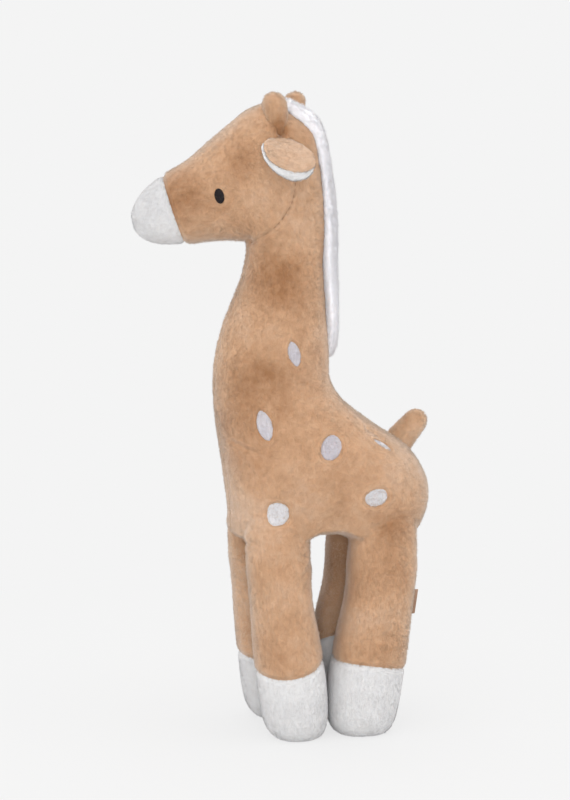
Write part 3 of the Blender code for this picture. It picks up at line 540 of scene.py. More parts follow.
def mesh_piece(name, points, faces):
    """Object with this mesh, smooth, its faces turned outwards."""
    mesh = bpy.data.meshes.new(name)
    mesh.from_pydata(np.asarray(points).tolist(), [], faces)
    work = bmesh.new()
    work.from_mesh(mesh)
    bmesh.ops.recalc_face_normals(work, faces=work.faces)
    work.to_mesh(mesh)
    work.free()
    mesh.shade_smooth()
    return link(name, mesh)


def shell_piece(name, top, under):
    """Object closed between two surfaces of rings, the second one turned to follow the first."""
    rings, around = top.shape[:2]
    points = np.vstack([top, under[::-1]]).reshape(-1, 3)
    return mesh_piece(name, points, tube_faces(2 * rings, around))


def get_points(piece):
    """Vertex positions of a piece, as an array."""
    mesh = piece.data
    flat = np.empty(len(mesh.vertices) * 3)
    mesh.vertices.foreach_get("co", flat)
    return flat.reshape(-1, 3)


def get_normals(piece):
    """Vertex normals of a piece, as an array."""
    mesh = piece.data
    flat = np.empty(len(mesh.vertices) * 3, dtype=np.float32)
    mesh.vertex_normals.foreach_get("vector", flat)
    return flat.reshape(-1, 3).astype(float)


def set_points(piece, points):
    """Write vertex positions back."""
    piece.data.vertices.foreach_set("co", np.ascontiguousarray(points, dtype=np.float32).ravel())
    piece.data.update()


def bake(piece):
    """Apply every modifier of a piece."""
    graph = bpy.context.evaluated_depsgraph_get()
    mesh = bpy.data.meshes.new_from_object(piece.evaluated_get(graph))
    piece.modifiers.clear()
    piece.data = mesh
    return piece


def finer(piece):
    """Subdivide a piece smoothly, once."""
    step = piece.modifiers.new("finer", "SUBSURF")
    step.levels = 1
    step.render_levels = 1
    return bake(piece)


def fuse(name, forms, voxel, rounds, strength=0.5):
    """One skin round several overlapping forms, with soft fillets where they meet."""
    points, faces = [], []
    for form_points, form_faces in forms:
        first = sum(len(p) for p in points)
        points.append(np.asarray(form_points))
        faces += [[corner + first for corner in face] for face in form_faces]
    skin = mesh_piece(name, np.vstack(points), faces)
    remesh = skin.modifiers.new("skin", "REMESH")
    remesh.mode = "VOXEL"
    remesh.voxel_size = voxel
    remesh.use_smooth_shade = True
    relax = skin.modifiers.new("relax", "SMOOTH")
    relax.factor = strength
    relax.iterations = rounds
    return bake(skin)


def split(piece, name, point, normal):
    """New piece with what lies ahead of a plane; the piece keeps what lies behind it."""
    ahead = piece.copy()
    ahead.data = piece.data.copy()
    ahead.name = name
    bpy.context.scene.collection.objects.link(ahead)
    for part, outer in ((ahead, False), (piece, True)):
        work = bmesh.new()
        work.from_mesh(part.data)
        every = work.verts[:] + work.edges[:] + work.faces[:]
        bmesh.ops.bisect_plane(work, geom=every, plane_co=point, plane_no=normal,
                               dist=MM / 1000, clear_outer=outer, clear_inner=not outer)
        work.to_mesh(part.data)
        work.free()
    return ahead


def turned(points, angle=HEAD_TURN, x=THROAT_X):
    """Points of the head, turned about the upright line through the throat."""
    c, s = cos(angle), sin(angle)
    moved = np.array(points, float)
    dx, dy = moved[:, 0] - x, moved[:, 1].copy()
    moved[:, 0] = x + dx * c - dy * s
    moved[:, 1] = dx * s + dy * c
    return moved


def straight(points):
    """Points with the turn of the head taken out."""
    return turned(points, -HEAD_TURN)


def torso_sections():
    """Sections of the torso: its front and back edges run over into the foot of the neck."""
    front_x = NECK_X - NECK_BASE_DEPTH / 2 - NECK_EASE_FRONT
    back_x = NECK_X + NECK_BASE_DEPTH / 2 + NECK_EASE_BACK
    rows = []
    for height, front, back, fullness, taper in TORSO_SHARES:
        z = HIP_HEIGHT + height * BACK_RISE
        width = fullness * blend(TORSO_WIDTH / 2, NECK_BASE_WIDTH / 2, taper)
        rows.append((blend(CHEST_X, front_x, front), z, blend(RUMP_X, back_x, back), z, width,
                     blend(TORSO_SQUARENESS, ROUND, taper)))
    return rows


def neck_sections():
    """Sections of the neck, from its foot to the throat."""
    rows = []
    for height, front, back, taper in NECK_SHARES:
        z = NECK_Z + height * NECK_LENGTH
        low = blend(NECK_X - NECK_BASE_DEPTH / 2, THROAT_FRONT, front)
        high = blend(NECK_X + NECK_BASE_DEPTH / 2, THROAT_FRONT + THROAT_DEPTH, back)
        rows.append((low, z, high, z, blend(NECK_BASE_WIDTH, THROAT_WIDTH, taper) / 2, ROUND))
    return rows


def head_along(share):
    """X at a share of the face ahead of the throat, or of the throat's depth behind its front."""
    return THROAT_FRONT - share * (FACE_LENGTH if share > 0 else THROAT_DEPTH)


def head_sections():
    """Sections of the unturned head: chords that swing round from level to almost upright."""
    rows = []
    for chin, chin_up, crown, crown_up, width in HEAD_SHARES:
        rows.append((head_along(chin), THROAT_Z + chin_up * HEAD_HEIGHT, head_along(crown),
                     THROAT_Z + crown_up * HEAD_HEIGHT, width * HEAD_WIDTH / 2,
                     HEAD_SQUARENESS))
    return rows


def leg_sections(front):
    """Sections of a front or hind leg, which lean out towards the ends of the toy."""
    if front:
        hip, depth, foot, side = FRONT_HIP_X, FRONT_THIGH_DEPTH, FRONT_FOOT_DEPTH, -1
    else:
        hip, depth, foot, side = HIND_HIP_X, HIND_THIGH_DEPTH, HIND_FOOT_DEPTH, 1
    inner_foot = FEET_MEET_X + side * SKIN_FEET_GAP / 2
    outer_foot = FEET_MEET_X + side * (FEET_GAP / 2 + foot)
    rows = []
    for height, inner, outer_front, outer_hind, lean in LEG_SHARES:
        outer = outer_front if front else outer_hind
        rows.append((blend(hip - side * depth / 2, inner_foot, inner), height * HIP_HEIGHT,
                     blend(hip + side * depth / 2, outer_foot, outer),
                     height * HIP_HEIGHT, blend(THIGH_WIDTH, FOOT_WIDTH, lean) / 2,
                     ROUND if height == 1 else LEG_SQUARENESS))
    return rows


def make_camera():
    """The photograph's viewpoint: from the left, a little ahead and above."""
    lens = bpy.data.cameras.new("camera")
    lens.sensor_fit = "VERTICAL"
    lens.sensor_height = CAMERA_SENSOR
    lens.lens = CAMERA_LENS
    camera = link("camera", lens)
    camera.location = CAMERA_PLACE
    camera.rotation_euler = Euler((CAMERA_TILT, 0, CAMERA_SIDE))
    bpy.context.scene.camera = camera


def make_lamp(name, place, target, power, size):
    """Round soft lamp at a place, aimed at a target."""
    light = bpy.data.lights.new(name, "AREA")
    light.shape = "DISK"
    light.energy = power
    light.size = size
    lamp = link(name, light)
    lamp.location = place
    aim = Vector(target) - Vector(place)
    lamp.rotation_euler = aim.to_track_quat("-Z", "Y").to_euler()


def make_studio():
    """Pale floor that fades into a pale surround, and soft lamps."""
    scene = bpy.context.scene
    scene.view_settings.view_transform = "Standard"
    world = bpy.data.worlds.new("studio")
    scene.world = world
    world.use_nodes = True
    board = Board(world.node_tree)
    plain = board.nodes["Background"]
    plain.inputs["Color"].default_value = (1.0, 1.0, 1.0, 1)
    plain.inputs["Strength"].default_value = WORLD_LIGHT
    seen = board.add("Background", {"Color": (BACKDROP, BACKDROP, BACKDROP, 1), "Strength": 1.0})
    board.join(board.background(), board.mix_shaders(plain, seen, board.nodes["World Output"]))
    reach = FLOOR_REACH
    floor = mesh_piece("floor", [(-reach, -reach, 0), (reach, -reach, 0), (reach, reach, 0),
                                 (-reach, reach, 0)], [(0, 1, 2, 3)])
    floor.location = (0, 0, -FLOOR_DROP)
    floor.data.materials.append(floor_material())
    for values in LAMPS:
        make_lamp(*values)


class Board:
    """Nodes of a material or of the surround, and the links between them."""

    def __init__(self, tree):
        self.nodes, self.links = tree.nodes, tree.links

    def add(self, kind, values=None, **settings):
        """New node of a kind with these settings and input values."""
        node = self.nodes.new("ShaderNode" + kind)
        for name, value in settings.items():
            setattr(node, name, value)
        for name, value in (values or {}).items():
            node.inputs[name].default_value = value
        return node

    def join(self, out, into):
        """Link an output socket to an input socket."""
        self.links.new(out, into)

    def maths(self, operation, a, b):
        """Result of a sum, product or the like of two sockets."""
        node = self.add("Math", operation=operation)
        self.join(a, node.inputs[0])
        self.join(b, node.inputs[1])
        return node.outputs[0]

    def background(self):
        """1 for rays that see the background directly, in a gloss or through glass."""
        path = self.add("LightPath")
        seen = self.maths("MAXIMUM", path.outputs["Is Camera Ray"], path.outputs["Is Glossy Ray"])
        return self.maths("MAXIMUM", seen, path.outputs["Is Transmission Ray"])

    def mix_shaders(self, first, second, output):
        """Mix two shaders into an output; returns the socket for the share of the second."""
        mix = self.add("MixShader")
        self.join(first.outputs[0], mix.inputs[1])
        self.join(second.outputs[0], mix.inputs[2])
        self.join(mix.outputs[0], output.inputs["Surface"])
        return mix.inputs[0]

    def mix(self, kind, factor, a, b):
        """Mixed colour; a and b are sockets or colours, factor a socket or a number."""
        mix = self.add("Mix", data_type="RGBA", blend_type=kind)
        for name, value in (("Factor", factor), ("A", a), ("B", b)):
            if isinstance(value, bpy.types.NodeSocket):
                self.join(value, mix.inputs[name])
            elif name == "Factor":
                mix.inputs[name].default_value = value
            else:
                mix.inputs[name].default_value = (*value, 1)
        return mix.outputs["Result"]

    def ramp(self, factor, stops):
        """Colour at a factor on a ramp of places and colours."""
        ramp = self.add("ValToRGB")
        elements = ramp.color_ramp.elements
        for element, (place, colour) in zip((elements[0], elements[1]), (stops[0], stops[-1])):
            element.position = place
            element.color = (*colour, 1)
        for place, colour in stops[1:-1]:
            elements.new(place).color = (*colour, 1)
        self.join(factor, ramp.inputs["Fac"])
        return ramp.outputs["Color"]

    def noise(self, vector, scale, detail, roughness=0.5):
        """Soft noise over a vector."""
        node = self.add("TexNoise", {"Scale": scale, "Detail": detail, "Roughness": roughness})
        self.join(vector, node.inputs["Vector"])
        return node.outputs["Fac"]

    def finish(self, shader, colour, height, strength, distance):
        """Give a shader its colour and a fine relief."""
        self.join(colour, shader.inputs["Base Color"])
        relief = self.add("Bump", {"Strength": strength, "Distance": distance})
        self.join(height, relief.inputs["Height"])
        self.join(relief.outputs["Normal"], shader.inputs["Normal"])


def new_material(name, values):
    """Material, its board, its shader with these values, and the socket of the place on it."""
    material = bpy.data.materials.new(name)
    material.use_nodes = True
    board = Board(material.node_tree)
    shader = board.nodes["Principled BSDF"]
    for word, value in values.items():
        shader.inputs[word].default_value = value
    return material, board, shader, board.add("TexCoord").outputs["Object"]


def floor_material():
    """Matt paper that fades into the backdrop's own tone away from the toy."""
    material, board, shader, place = new_material("floor_paper", {
        "Base Color": (FLOOR_TONE, FLOOR_TONE, FLOOR_TONE, 1), "Roughness": 1.0,
        "Specular IOR Level": 0.0})
    glow = board.add("Emission", {"Color": (BACKDROP, BACKDROP, BACKDROP, 1), "Strength": 1.0})
    distance = board.add("VectorMath", operation="LENGTH")
    board.join(place, distance.inputs[0])
    fade = board.add("MapRange", {"From Min": FLOOR_FADE[0], "From Max": FLOOR_FADE[1],
                                  "To Min": FLOOR_GLOW}, interpolation_type="SMOOTHSTEP")
    board.join(distance.outputs["Value"], fade.inputs["Value"])
    share = board.maths("MULTIPLY", board.background(), fade.outputs["Result"])
    board.join(share, board.mix_shaders(shader, glow, board.nodes["Material Output"]))
    return material


def pile_material(name, dark, middle, light, tips, sheen, scale, through, depth):
    """Pile fabric.

    The nap attribute, which holds nap mottling with painted light and shade, picks a colour from
    dark to light. Fine noise drawn out along Z darkens it as painted shade between the hairs, and a
    soft sheen in the tips' colour lies over it.
    """
    material, board, shader, place = new_material(name, {
        "Roughness": 0.95, "Specular IOR Level": 0.12, "Sheen Weight": sheen,
        "Sheen Roughness": 0.5, "Sheen Tint": (*tips, 1), "Subsurface Weight": through,
        "Subsurface Radius": (1.0, 0.75, 0.6), "Subsurface Scale": depth * MM})
    nap = board.add("Attribute", attribute_name="nap")
    shift = board.add("MapRange", {"From Min": 0.3, "From Max": 0.7, "To Min": -0.08,
                                   "To Max": 0.08})
    board.join(board.noise(place, 240.0, 3.0), shift.inputs["Value"])
    lie = board.maths("ADD", nap.outputs["Fac"], shift.outputs["Result"])
    cloth = board.ramp(lie, ((0.06, dark), (0.5, middle), (0.85, light)))
    stretch = board.add("Mapping", {"Scale": (scale, scale, scale * 0.55)})
    board.join(place, stretch.inputs["Vector"])
    fine = board.noise(stretch.outputs["Vector"], 1.0, 3.0, 0.6)
    tone = board.ramp(fine, ((0.30, HAIR_SHADE), (0.56, (1, 1, 1))))
    board.finish(shader, board.mix("MULTIPLY", 0.5, cloth, tone), fine, 0.45, PILE_BUMP)
    return material


def thread_material():
    """Black satin thread: fine ribs, slightly glossy."""
    material, board, shader, place = new_material("eye_thread", {
        "Roughness": 0.5, "Specular IOR Level": 0.15})
    fibre = board.noise(place, 2600.0, 2.0)
    board.finish(shader, board.mix("MIX", fibre, *THREAD_COLOURS), fibre, 0.35, THREAD_BUMP)
    return material


def tape_material():
    """Plain-woven tape of the tab: warp and weft ribs, darker at its lower end."""
    material, board, shader, place = new_material("tab_tape", {
        "Roughness": 0.8, "Specular IOR Level": 0.25, "Sheen Weight": 0.1})
    ribs = []
    for axis in "ZX":
        rib = board.add("TexWave", {"Scale": 330.0, "Distortion": 0.4}, bands_direction=axis)
        board.join(place, rib.inputs["Vector"])
        ribs.append(rib.outputs["Fac"])
    weave = board.maths("MULTIPLY", *ribs)
    height = board.add("SeparateXYZ")
    board.join(place, height.inputs[0])
    up = board.add("MapRange", {"From Min": TAB_LOW + TAB_HEIGHT * 0.5,
                                "From Max": TAB_LOW + TAB_HEIGHT})
    board.join(height.outputs["Z"], up.inputs["Value"])
    low, high, rib = TAPE_COLOURS
    plain = board.mix("MIX", up.outputs["Result"], low, high)
    board.finish(shader, board.mix("MIX", weave, plain, rib), weave, 0.4, TAPE_BUMP)
    return material


def make_materials():
    """Every material of the toy by a short name."""
    paint = {word: pile_material(*values) for word, values in CLOTHS.items()}
    paint["thread"] = thread_material()
    paint["tape"] = tape_material()
    return paint


def dress(piece, material):
    """Give a piece its material."""
    piece.data.materials.clear()
    piece.data.materials.append(material)


def corner_blend(base, t, value_at):
    """Values at the eight corners of each point's cell, blended by its shares t of the cell."""
    total = np.zeros(len(base))
    for corner in range(8):
        step = np.array([corner & 1, corner >> 1 & 1, corner >> 2 & 1])
        total += value_at(base + step) * np.prod(np.where(step, t, 1 - t), axis=1)
    return total


def noise(points, cell, seed):
    """Smooth value noise from -1 to 1.

    Each point of a cubic grid holds a number hashed from its place. Between grid points they are
    blended by 3t^2 - 2t^3 along each axis.
    """
    def hashed(at):
        number = at[:, 0] * 73856093 ^ at[:, 1] * 19349663 ^ at[:, 2] * 83492791 ^ seed * 26544357
        number = (number ^ number >> 13) * 1274126177
        return (number >> 8 & 65535) / 65535

    place = np.asarray(points) / cell
    base = np.floor(place).astype(np.int64)
    return corner_blend(base, eased(place - base), hashed) * 2 - 1


def clumps(points, table):
    """Sum of soft noises, each with its amount, its size in millimetres and its seed."""
    return sum(amount * noise(points, cell * MM, seed) for amount, cell, seed in table)


def line_distance(points, line):
    """Distance of 2-D points from a line of straight stretches."""
    line = np.asarray(line)
    best = np.full(len(points), 1.0)
    for a, b in zip(line[:-1], line[1:]):
        along = b - a
        share = np.clip((points - a) @ along / (along @ along), 0, 1)
        best = np.minimum(best, np.linalg.norm(points - a - share[:, None] * along, axis=1))
    return best


def muzzle_distance(points):
    """How far points lie ahead of the muzzle seam."""
    flat = straight(points)
    x = head_along(1) + MUZZLE_LENGTH
    z = THROAT_Z + HEAD_SHARES[-1][1] * HEAD_HEIGHT
    return -(flat[:, 0] - x) * cos(MUZZLE_SLANT) - (flat[:, 2] - z) * sin(MUZZLE_SLANT)


def seam_curve(front, points):
    """Height of a foot seam: a parabola in X, and higher by a square on a hind leg's inner side."""
    middle, height, curve = FRONT_SEAM if front else HIND_SEAM
    inner = np.clip(1 - np.abs(points[:, 1] - CENTRE_Y) / (HIP_SPREAD / 2), 0, 1)
    rise = 0.0 if front else INNER_SEAM_RISE
    return height + curve * (points[:, 0] - middle) ** 2 + rise * inner * inner


def foot_seams(points, reach):
    """1 on the foot seams, falling off over a reach."""
    share = 0
    for front, near in ((True, points[:, 0] < FEET_MEET_X), (False, points[:, 0] >= FEET_MEET_X)):
        away = points[:, 2] - seam_curve(front, points)
        share += bump(away, reach) * near * (points[:, 2] < HIP_HEIGHT)
    return share


def head_seam(points, reach):
    """1 on the seam behind the face, falling off over a reach."""
    away = line_distance(straight(points)[:, [0, 2]], np.array(HEAD_SEAM) * MM)
    return bump(away, reach) * (points[:, 2] > THROAT_Z)


def head_growth(points):
    """How far the skin stands out on the head, rising smoothly from the throat."""
    high = np.clip((points[:, 2] - THROAT_Z + HEAD_GROW_START) / HEAD_GROW_RUN, 0, 1)
    ahead = np.clip((THROAT_FRONT - points[:, 0]) / CHIN_RUN, 0, 1)
    chin = ahead * np.clip((points[:, 2] - THROAT_Z + CHIN_START) / CHIN_RISE, 0, 1)
    return HEAD_GROW * np.clip(high + chin, 0, 1)


def nape_fill(points):
    """Points of the unturned head moved back behind the crown by a rounded ridge in height."""
    share = np.clip((points[:, 0] - THROAT_X - NAPE_START) / NAPE_RUN, 0, 1)
    share = eased(share) * bump(points[:, 2] - NAPE_Z, NAPE_REACH)
    return points + share[:, None] * np.array([NAPE_FILL, 0, NAPE_FILL * NAPE_LIFT])


def head_fill(points):
    """Points of the unturned head with a full nape, and a soft rise before the foot of each horn."""
    points = nape_fill(points)
    x, z = COLLAR_PLACE
    rise = bump(points[:, 0] - x, COLLAR_REACH) * bump(points[:, 2] - z, COLLAR_HEIGHT)
    rise *= bump(np.abs(points[:, 1]) - HORN_SPREAD / 2, COLLAR_WIDTH)
    points[:, 2] += COLLAR_RISE * rise
    return points


def make_skin():
    """One soft skin over torso, neck, head and legs.

    Under the belly it rises between the legs by a flat-topped arch, e to the minus fourth power
    of X, times a rounded ridge in height.
    """
    forms = [tube(smooth_sections(torso_sections(), 6), 96, -PILE_ROOM, (BELLY_ROUND, 0)),
             tube(smooth_sections(neck_sections(), 6), 80, -PILE_ROOM)]
    head_points, head_faces = tube(smooth_sections(head_sections(), 5), 80, -PILE_ROOM,
                                   (0, MUZZLE_ROUND))
    forms.append((turned(head_points), head_faces))
    for front in (True, False):
        leg, faces = tube(smooth_sections(leg_sections(front), 6), 64, -PILE_ROOM,
                          (FRONT_THIGH_DEPTH / 2, 0))
        for _, side in SIDES:
            forms.append((leg + np.array([0.0, side * HIP_SPREAD / 2, 0.0]), faces))
    skin = fuse("body_plush", forms, VOXEL, VOXEL_ROUNDS)
    points = get_points(skin)
    arch = np.exp(-((points[:, 0] - ARCH_X) / ARCH_HALF_WIDTH) ** 4)
    arch *= bump(points[:, 2] - BELLY_Z, ARCH_REACH)
    points[:, 2] += ARCH_RISE * arch
    points += get_normals(skin) * head_growth(points)[:, None]
    points = turned(head_fill(straight(points)))
    points[:, 1] += CENTRE_Y
    set_points(skin, points)
    points += get_normals(skin) * stuffing_swell(skin)[:, None]
    points[:, 2] = np.maximum(points[:, 2], 0.0)
    set_points(skin, points)
    return skin


def seam_share(points):
    """1 on the seams of the skin, where the fabric is held, falling to 0 a little away."""
    share = bump(muzzle_distance(points), STUFFING_VOXEL) * (points[:, 2] > THROAT_Z)
    share += foot_seams(points, STUFFING_VOXEL) + head_seam(points, STUFFING_VOXEL)
    share += bump(points[:, 1] - CENTRE_Y, STUFFING_VOXEL) * (points[:, 2] > HIP_HEIGHT)
    share += points[:, 2] < SOLE_HELD
    return np.clip(share, 0, 1)


def blow_up(skin):
    """Points of a coarse copy of the skin, and how far the stuffing moves each one outwards.

    The copy is a cloth held at its seams and blown up by an even pressure.
    """
    coarse = skin.copy()
    coarse.data = skin.data.copy()
    bpy.context.scene.collection.objects.link(coarse)
    remesh = coarse.modifiers.new("coarse", "REMESH")
    remesh.mode = "VOXEL"
    remesh.voxel_size = STUFFING_VOXEL
    bake(coarse)
    start, out = get_points(coarse), get_normals(coarse)
    held = coarse.vertex_groups.new(name="held")
    share = seam_share(start)
    for step in range(1, 5):
        chosen = np.flatnonzero(np.round(share * 4) == step).tolist()
        held.add(chosen, step / 4, "REPLACE")
    cloth = coarse.modifiers.new("fabric", "CLOTH")
    cloth.settings.quality = 5
    cloth.settings.mass = STUFFING_MASS
    cloth.settings.tension_stiffness = 25
    cloth.settings.compression_stiffness = 25
    cloth.settings.shear_stiffness = 10
    cloth.settings.bending_stiffness = 0.4
    cloth.settings.use_pressure = True
    cloth.settings.uniform_pressure_force = STUFFING_PRESSURE
    cloth.settings.vertex_group_mass = "held"
    cloth.settings.effector_weights.gravity = 0
    cloth.collision_settings.use_collision = False
    cloth.point_cache.frame_start = 1
    cloth.point_cache.frame_end = STUFFING_FRAMES
    scene = bpy.context.scene
    for number in range(1, STUFFING_FRAMES + 1):
        scene.frame_set(number)
    bake(coarse)
    move = np.sum((get_points(coarse) - start) * out, axis=1)
    scene.frame_set(1)
    bpy.data.objects.remove(coarse)
    return start, np.clip(np.nan_to_num(move), -STUFFING_LIMIT, 2 * STUFFING_LIMIT)


def grid_blur(grid):
    """Each cell with a quarter of both neighbours along every axis."""
    for axis in range(3):
        grid = 0.5 * grid + 0.25 * (np.roll(grid, 1, axis) + np.roll(grid, -1, axis))
    return grid


def stuffing_swell(skin):
    """How far the stuffing pushes the skin out at each of its points.

    The moves of the coarse cloth are averaged in the cells of a grid, blurred, and read between
    the cells. The mean move is taken off, so that the toy keeps its size.
    """
    start, move = blow_up(skin)
    points = get_points(skin)
    low = points.min(axis=0) - 3 * STUFFING_CELL
    count = np.ceil((points.max(axis=0) + 3 * STUFFING_CELL - low) / STUFFING_CELL).astype(int)
    total, weight = np.zeros(count), np.zeros(count)
    cell = tuple(np.floor((start - low) / STUFFING_CELL).astype(int).T)
    np.add.at(total, cell, move)
    np.add.at(weight, cell, 1.0)
    field = grid_blur(total) / np.maximum(grid_blur(weight), 1e-6)
    place = (points - low) / STUFFING_CELL - 0.5
    base = np.floor(place).astype(int)
    swell = corner_blend(base, place - base, lambda at: field[tuple(at.T)])
    return np.clip(swell - swell.mean(), -STUFFING_LIMIT, STUFFING_LIMIT)


class Surface:
    """The smooth skin, kept to set spots, eyes and stitches on."""

    def __init__(self, skin):
        self.points = get_points(skin)
        self.normals = get_normals(skin)
        faces = [tuple(face.vertices) for face in skin.data.polygons]
        self.tree = BVHTree.FromPolygons(self.points.tolist(), faces)
        self.near = KDTree(len(self.points))
        for index, point in enumerate(self.points.tolist()):
            self.near.insert(point, index)
        self.near.balance()

    def side_point(self, x, z, side, lift=0.0, head=False):
        """Place and normal where a line across the toy at x and z meets its left or right side."""
        way = np.array([[0.0, -side * cos(lift), -sin(lift)]])
        start = np.array([[x, side * SPOT_SIDE_Y, z]]) - way * TORSO_WIDTH
        if head:
            start = turned(start)
            way = turned(way, x=0.0)
        start[:, 1] += CENTRE_Y
        place, _, _, _ = self.tree.ray_cast(Vector(start[0]), Vector(way[0]))
        return np.array(place), self.smooth_normal(place)

    def smooth_normal(self, place):
        """Mean normal of the nearest few points."""
        found = self.near.find_n(place, 12)
        mean = np.mean([self.normals[index] for _, index, _ in found], axis=0)
        return mean / np.linalg.norm(mean)

    def settle(self, points, way):
        """Points moved along a way onto the skin, with the skin's normals there."""
        way = np.asarray(way)
        out = -way / np.linalg.norm(way)
        placed, normals = [], []
        for point in points:
            hit, _, _, _ = self.tree.ray_cast(Vector(point + out * SPOT_REACH), Vector(-out))
            if hit is None:
                hit = self.tree.find_nearest(Vector(point))[0]
            placed.append(hit)
            normals.append(self.smooth_normal(hit))
        return np.array(placed), np.array(normals)


class Oval:
    """A spot or an eye: a squared oval on the skin, with its middle and its own directions."""

    def __init__(self, surface, place, size, tilt, side, lift=0.0, head=False, squareness=ROUND):
        self.surface = surface
        self.length, self.width = size
        self.squareness = squareness
        self.middle, self.normal = surface.side_point(*place, side, lift, head)
        up = np.array([0.0, 0.0, 1.0])
        up -= self.normal * (up @ self.normal)
        up /= np.linalg.norm(up)
        across = np.cross(up, self.normal)
        across = across if across[0] > 0 else -across
        self.up = up * cos(tilt) - across * sin(tilt)
        self.across = across * cos(tilt) + up * sin(tilt)

    def reach(self, points):
        """How far points lie from the middle, where 1 is the edge.

        It is the root of a and b raised to the squareness and added, where a and b are the
        shares of half the length and of half the width.
        """
        away = points - self.middle
        a = np.abs(away @ self.up) / (self.length / 2)
        b = np.abs(away @ self.across) / (self.width / 2)
        reach = (a ** self.squareness + b ** self.squareness) ** (1 / self.squareness)
        return np.where(np.abs(away @ self.normal) < self.length, reach, FAR_AWAY)

    def rings(self, share, around):
        """Rings laid on the skin at shares of the oval's size.

        A point is the middle plus its share of half the length and half the width, by cos t and
        sin t raised to 2 / squareness. Gives the offsets up and across, the places on the skin
        and the normals there.
        """
        t = np.arange(around) * 2 * pi / around
        tall = share * squared_wave(np.cos(t), 2 / self.squareness) * self.length / 2
        wide = share * squared_wave(np.sin(t), 2 / self.squareness) * self.width / 2
        flat = self.middle + tall[..., None] * self.up + wide[..., None] * self.across
        placed, normals = self.surface.settle(flat.reshape(-1, 3), -self.normal)
        return tall, wide, placed.reshape(flat.shape), normals.reshape(flat.shape)


def nap_and_shade_value(points):
    """Tone of the pile from 0, dark, to 1, pale: soft noise of the nap, and listed places that add
    painted shade and painted light to it.
    """
    flat = np.where(points[:, 2:3] > THROAT_Z, straight(points), points)
    value = 0.5 + clumps(points, NAP_CLUMPS)
    for x, z, reach, change in NAP_AND_SHADE_PLACES:
        away = np.hypot(flat[:, 0] - x * MM, flat[:, 2] - z * MM) / (reach * MM)
        value += change * np.exp(-away ** 2)
    return np.clip(value, 0, 1)


def set_nap_and_shade(piece, values=None):
    """Store the tone of the pile, nap mottling with painted light and shade, on a piece's points for
    its material.
    """
    values = nap_and_shade_value(get_points(piece)) if values is None else values
    layer = piece.data.attributes.get("nap") or piece.data.attributes.new("nap", "FLOAT", "POINT")
    layer.data.foreach_set("value", values.astype(np.float32))


def seam_depth(points):
    """How deep the seams, creases, pits and corners lie at each point of the skin."""
    flat = straight(points)
    head = points[:, 2] > THROAT_Z
    depth = SEAM_DEPTH * bump(muzzle_distance(points), MUZZLE_SEAM_REACH) * head
    depth += SEAM_DEPTH * foot_seams(points, FOOT_SEAM_REACH)
    depth += HEAD_SEAM_DEPTH * head_seam(points, HEAD_SEAM_REACH)
    for line, deep in CREASES:
        away = line_distance(points[:, [0, 2]], np.array(line) * MM)
        depth += deep * MM * bump(away, CREASE_REACH) * (points[:, 1] < 0)
        away = line_distance(points[:, [0, 2]], (np.array(line) + FAR_CREASE_SHIFT) * MM)
        depth += deep * FAR_CREASE_SHARE * MM * bump(away, CREASE_REACH) * (points[:, 1] > 0)
    pit = np.hypot(flat[:, 0] - PIT[0], flat[:, 2] - PIT[1])
    depth += PIT_DEPTH * bump(pit, PIT_REACH) * head
    corner = np.hypot(flat[:, 0] - THROAT_CORNER[0], flat[:, 2] - THROAT_CORNER[1])
    depth += THROAT_CORNER_DEPTH * bump(corner, THROAT_CORNER_REACH)
    above = (points[:, 2] > HIP_HEIGHT - MIDDLE_SEAM_DROP) & ~head
    middle = np.abs(points[:, 1] - CENTRE_Y)
    return depth + MIDDLE_SEAM_DEPTH * bump(middle, MIDDLE_SEAM_REACH) * above


def shape_skin(skin, surface, spots):
    """Grooves at the seams, hollows under the spots, small creases and clumps of pile.

    The skin moves along its normals by a sum of soft noises, less a rounded groove about each
    seam. A spot's hollow is level inside, with an eased edge and a low ridge round it.
    """
    points, normals = surface.points.copy(), surface.normals
    low = np.clip((BELLY_Z - points[:, 2]) / LEG_GROW_RUN, 0, 1)
    points += normals * (LEG_GROW * eased(low))[:, None]
    depth = seam_depth(points)
    for spot in spots:
        reach = spot.reach(points)
        depth += SPOT_DEPTH * eased(np.clip((1.06 - reach) / 0.10, 0, 1))
        depth -= SPOT_RIDGE * bump(reach - 1.22, 0.16)
    points += normals * (clumps(points, SKIN_CLUMPS) * MM - depth)[:, None]
    points[:, 2] = np.maximum(points[:, 2], 0.0)
    set_points(skin, points)


def keep_normals(skin):
    """Note the skin's normals on its points, so that cut edges don't show."""
    layer = skin.data.attributes.new("whole", "FLOAT_VECTOR", "POINT")
    layer.data.foreach_set("vector", get_normals(skin).astype(np.float32).ravel())


def use_normals(piece):
    """Shade a piece by the normals noted before it was cut off."""
    flat = np.empty(len(piece.data.vertices) * 3, dtype=np.float32)
    piece.data.attributes["whole"].data.foreach_get("vector", flat)
    normals = unit(flat.reshape(-1, 3))
    piece.data.attributes.remove(piece.data.attributes["whole"])
    piece.data.normals_split_custom_set_from_vertices(normals.tolist())


def cut_leg(leg, front, foot_name):
    """Cut a leg along its curved foot seam, made level for the cut; gives the foot."""
    points = get_points(leg)
    points[:, 2] -= seam_curve(front, points)
    set_points(leg, points)
    foot = split(leg, foot_name, (0, 0, 0), (0, 0, -1))
    for part in (leg, foot):
        points = get_points(part)
        points[:, 2] += seam_curve(front, points)
        set_points(part, points)
    return foot


